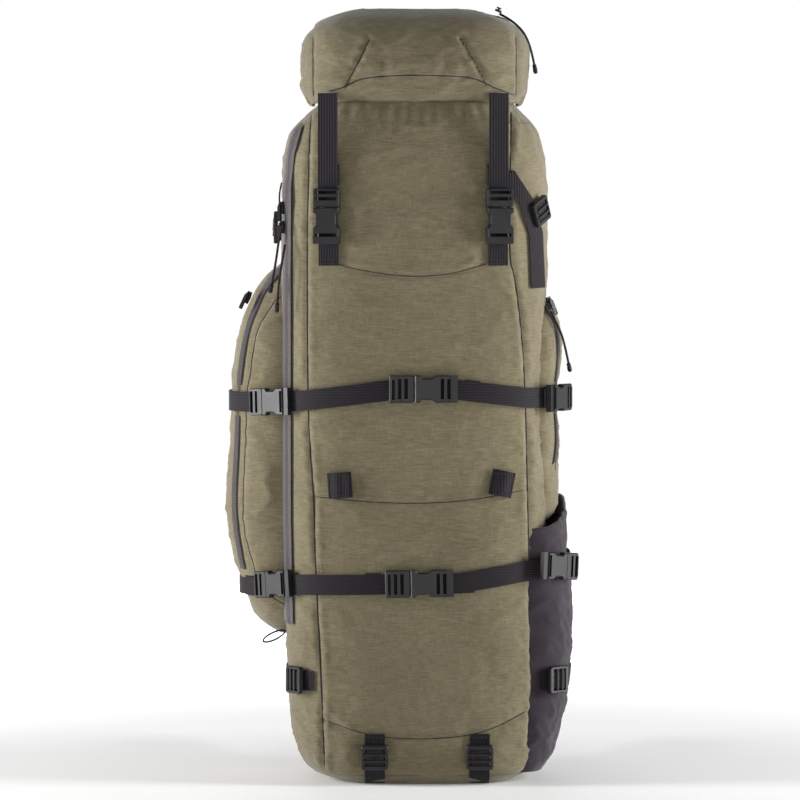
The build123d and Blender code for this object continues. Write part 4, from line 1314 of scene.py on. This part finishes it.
def belt_edge_path(sign):
    """Places and outward directions around a hip wing's edge."""
    lower, upper = [], []
    for angle in np.linspace(28, 98.5, 30):
        low, high = belt_edges(BELT_R * math.sin(math.radians(angle)))
        lower.append((belt_point(sign, angle, low + PAD_SKIN), Vector((0, 0, -1))))
        upper.append((belt_point(sign, angle, high - PAD_SKIN), Vector((0, 0, 1))))
    tip = math.radians(98.5)
    ahead = Vector((sign * math.cos(tip), math.sin(tip), 0))
    low, high = lower[-1][0], upper[-1][0]
    corner = [(low.lerp(high, t) + ahead * 0.6, ahead) for t in (0.06, 0.5, 0.94)]
    return lower + corner + upper[::-1]


def remeshed(name, node):
    """A copy of a CAD piece as one even mesh, a little smaller, ready to be swollen."""
    pad = bpy.data.objects.new(name, NODES[node].data.copy())
    bpy.context.scene.collection.objects.link(pad)
    remesh = pad.modifiers.new("remesh", "REMESH")
    remesh.mode, remesh.voxel_size, remesh.use_smooth_shade = "VOXEL", PAD_VOXEL * MM, True
    graph = bpy.context.evaluated_depsgraph_get()
    dense = bpy.data.meshes.new_from_object(pad.evaluated_get(graph))
    pad.modifiers.clear()
    pad.data = dense
    dense.materials.clear()
    dense.materials.append(M_FOAM)
    normals = [v.normal.copy() for v in dense.vertices]
    for v, normal in zip(dense.vertices, normals):
        v.co -= normal * PAD_SKIN * MM
    return pad


def stitched_back_pad(p):
    x, y, z = p
    near_quilt = min(abs(z - q) for q in QUILT_BACK) < 2.6 and y > BACK_FACE + 6
    return near_quilt or y < BACK_FACE + 8


def stitched_lumbar(p):
    return p[1] < BACK_FACE + 9 or (min(abs(p[2] - q) for q in QUILT_LUMBAR) < 2.6 and p[1] > BACK_FACE + 12)


def stitched_shoulder(p):
    return abs(abs(p[0]) - SHOULDER_X) > SHOULDER_HALF - 6


def stitched_wing(p):
    low, high = belt_edges(min(150.0, abs(p[0])))
    return p[2] < low + 6.5 or p[2] > high - 6.5 or abs(p[0]) < 74 or abs(p[2] - 103) < 2.6


PADS = {
    "back_pad_foam": ("back_pads", "pack", stitched_back_pad),
    "lumbar_pad_foam": ("lumbar_pad", "pack", stitched_lumbar),
    "shoulder_strap_foam": ("shoulder_straps", "pack", stitched_shoulder),
    "hip_wing_foam_left": ("hip_belt_left", "hip_wing_left", stitched_wing),
    "hip_wing_foam_right": ("hip_belt_right", "hip_wing_right", stitched_wing),
}
pads = {name: remeshed(name, node) for name, (node, _, _) in PADS.items()}


def swell():
    """Swells the pads between their stitched edges with a cloth simulation under inner pressure."""
    scene = bpy.context.scene
    before = {}
    for name, pad in pads.items():
        stitched = PADS[name][2]
        held = pad.vertex_groups.new(name="stitched")
        held.add([v.index for v in pad.data.vertices if stitched(v.co / MM)], 1.0, "REPLACE")
        before[name] = np.array([v.co for v in pad.data.vertices])
        cloth = pad.modifiers.new("pressure", "CLOTH")
        cloth.settings.vertex_group_mass = "stitched"
        cloth.settings.use_pressure = True
        cloth.settings.uniform_pressure_force = 4.0
        cloth.settings.quality = 6
        cloth.settings.mass = 0.3
        cloth.settings.bending_stiffness = 0.6
        cloth.settings.effector_weights.gravity = 0.0
        cloth.collision_settings.use_collision = False
        cloth.point_cache.frame_start, cloth.point_cache.frame_end = 1, 20
    for frame_number in range(1, 21):
        scene.frame_set(frame_number)
    graph = bpy.context.evaluated_depsgraph_get()
    for name, pad in pads.items():
        after = np.array([v.co for v in pad.evaluated_get(graph).data.vertices])
        moved = after - before[name]
        length = np.maximum(np.linalg.norm(moved, axis=1), 1e-9)
        moved *= np.minimum(1.0, PAD_SWELL * MM / length)[:, None]
        pad.modifiers.clear()
        pad.vertex_groups.clear()
        pad.data.vertices.foreach_set("co", (before[name] + moved).astype(np.float32).ravel())
        pad.data.update()
    scene.frame_set(1)


swell()
for name, (node, body, _) in PADS.items():
    pad = pads[name]
    smooth = pad.modifiers.new("smooth", "SUBSURF")
    smooth.levels = smooth.render_levels = 1
    graph = bpy.context.evaluated_depsgraph_get()
    fine = bpy.data.meshes.new_from_object(pad.evaluated_get(graph))
    pad.modifiers.clear()
    pad.data = fine
    fine.polygons.foreach_set("use_smooth", [True] * len(fine.polygons))
    belong(pad, body, "harness_foam", node)


def harness_details():
    """Bound edges of the pads, and the stitching that quilts them."""
    binding, thread = Heap(), Heap()
    tree = search_tree(pads["back_pad_foam"], pads["lumbar_pad_foam"])
    for x, z, size in (
        (-BACK_PAD_X, BACK_PAD_Z, BACK_PAD_SIZE), (BACK_PAD_X, BACK_PAD_Z, BACK_PAD_SIZE),
        (0.0, LUMBAR_Z, LUMBAR_SIZE),
    ):
        binding.strip(round_frame(x, z, size, BACK_FACE + 4.6, PAD_SKIN - 0.4), 9.0, 1.6, edge=0.7)
        inset = [p + Vector((0, 300, 0)) for p, _ in round_frame(x, z, size, BACK_FACE, 13.0)]
        thread.stitches(laid(inset, INTO_BACK, tree), lift=0.25)
    for x, half, levels in (
        (-BACK_PAD_X, 32, QUILT_BACK), (BACK_PAD_X, 32, QUILT_BACK), (0, 44, QUILT_LUMBAR),
    ):
        for z in levels:
            thread.stitches(laid([(x - half, 420, z), (x + half, 420, z)], INTO_BACK, tree), lift=0.3)
    line = [Vector((0, y, z)) for y, z in smooth_line(SHOULDER_LINE)]
    for side in (-1, 1):
        for edge in (-1, 1):
            x = side * SHOULDER_X + edge * (SHOULDER_HALF - PAD_SKIN + 0.3)
            binding.strip([(p + Vector((x, 0, 0)), Vector((edge, 0, 0))) for p in line], 11.6, 1.6, edge=0.7)
    binding.make("pad_binding", M_BIND, "pack", "harness_foam")
    thread.make("pad_stitching", M_THREAD, "pack", "harness_foam")
    for side, sign in (("left", -1), ("right", 1)):
        wing = Heap()
        wing.strip(belt_edge_path(sign), 13.4, 1.6, edge=0.7)
        wing.make(f"hip_wing_binding_{side}", M_BIND, f"hip_wing_{side}", "harness_foam")


harness_details()


FLAP_HALF, FLAP_COLUMNS = 96, 66


def lid_hinge_flap():
    """The strip of shell cloth at the back that joins the lid to the bag."""
    levels = ((834, BAG_TREE), (844, BAG_TREE), (875, LID_TREE), (884, LID_TREE), (892, LID_TREE))
    xs, columns = np.linspace(-FLAP_HALF, FLAP_HALF, FLAP_COLUMNS), []
    for x in xs:
        line = [
            (tree.ray_cast(Vector((x, 420, z)) * MM, Vector(INTO_BACK))[0].y / MM, z, 0) for z, tree in levels
        ]
        ripple = 0.5 * math.sin(x / 7.5)
        columns.append([
            p + Vector((ripple * math.sin(k / 6.0), 0, 0)) for k, p in enumerate(smooth_line(line, 5))
        ])
    order = range(len(columns[0]))
    rows = []
    for k, lift in [(k, 1.7) for k in order] + [(k, 0.5) for k in reversed(order)] + [(0, 1.7)]:
        rows.append([
            (x, column[k].x + lift * (1 - 0.8 * abs(x / FLAP_HALF) ** 8), column[k].y)
            for x, column in zip(xs, columns)
        ])
    flap = grid_object("lid_hinge_flap", rows, M_SHELL, closed=False)
    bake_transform(flap)


lid_hinge_flap()
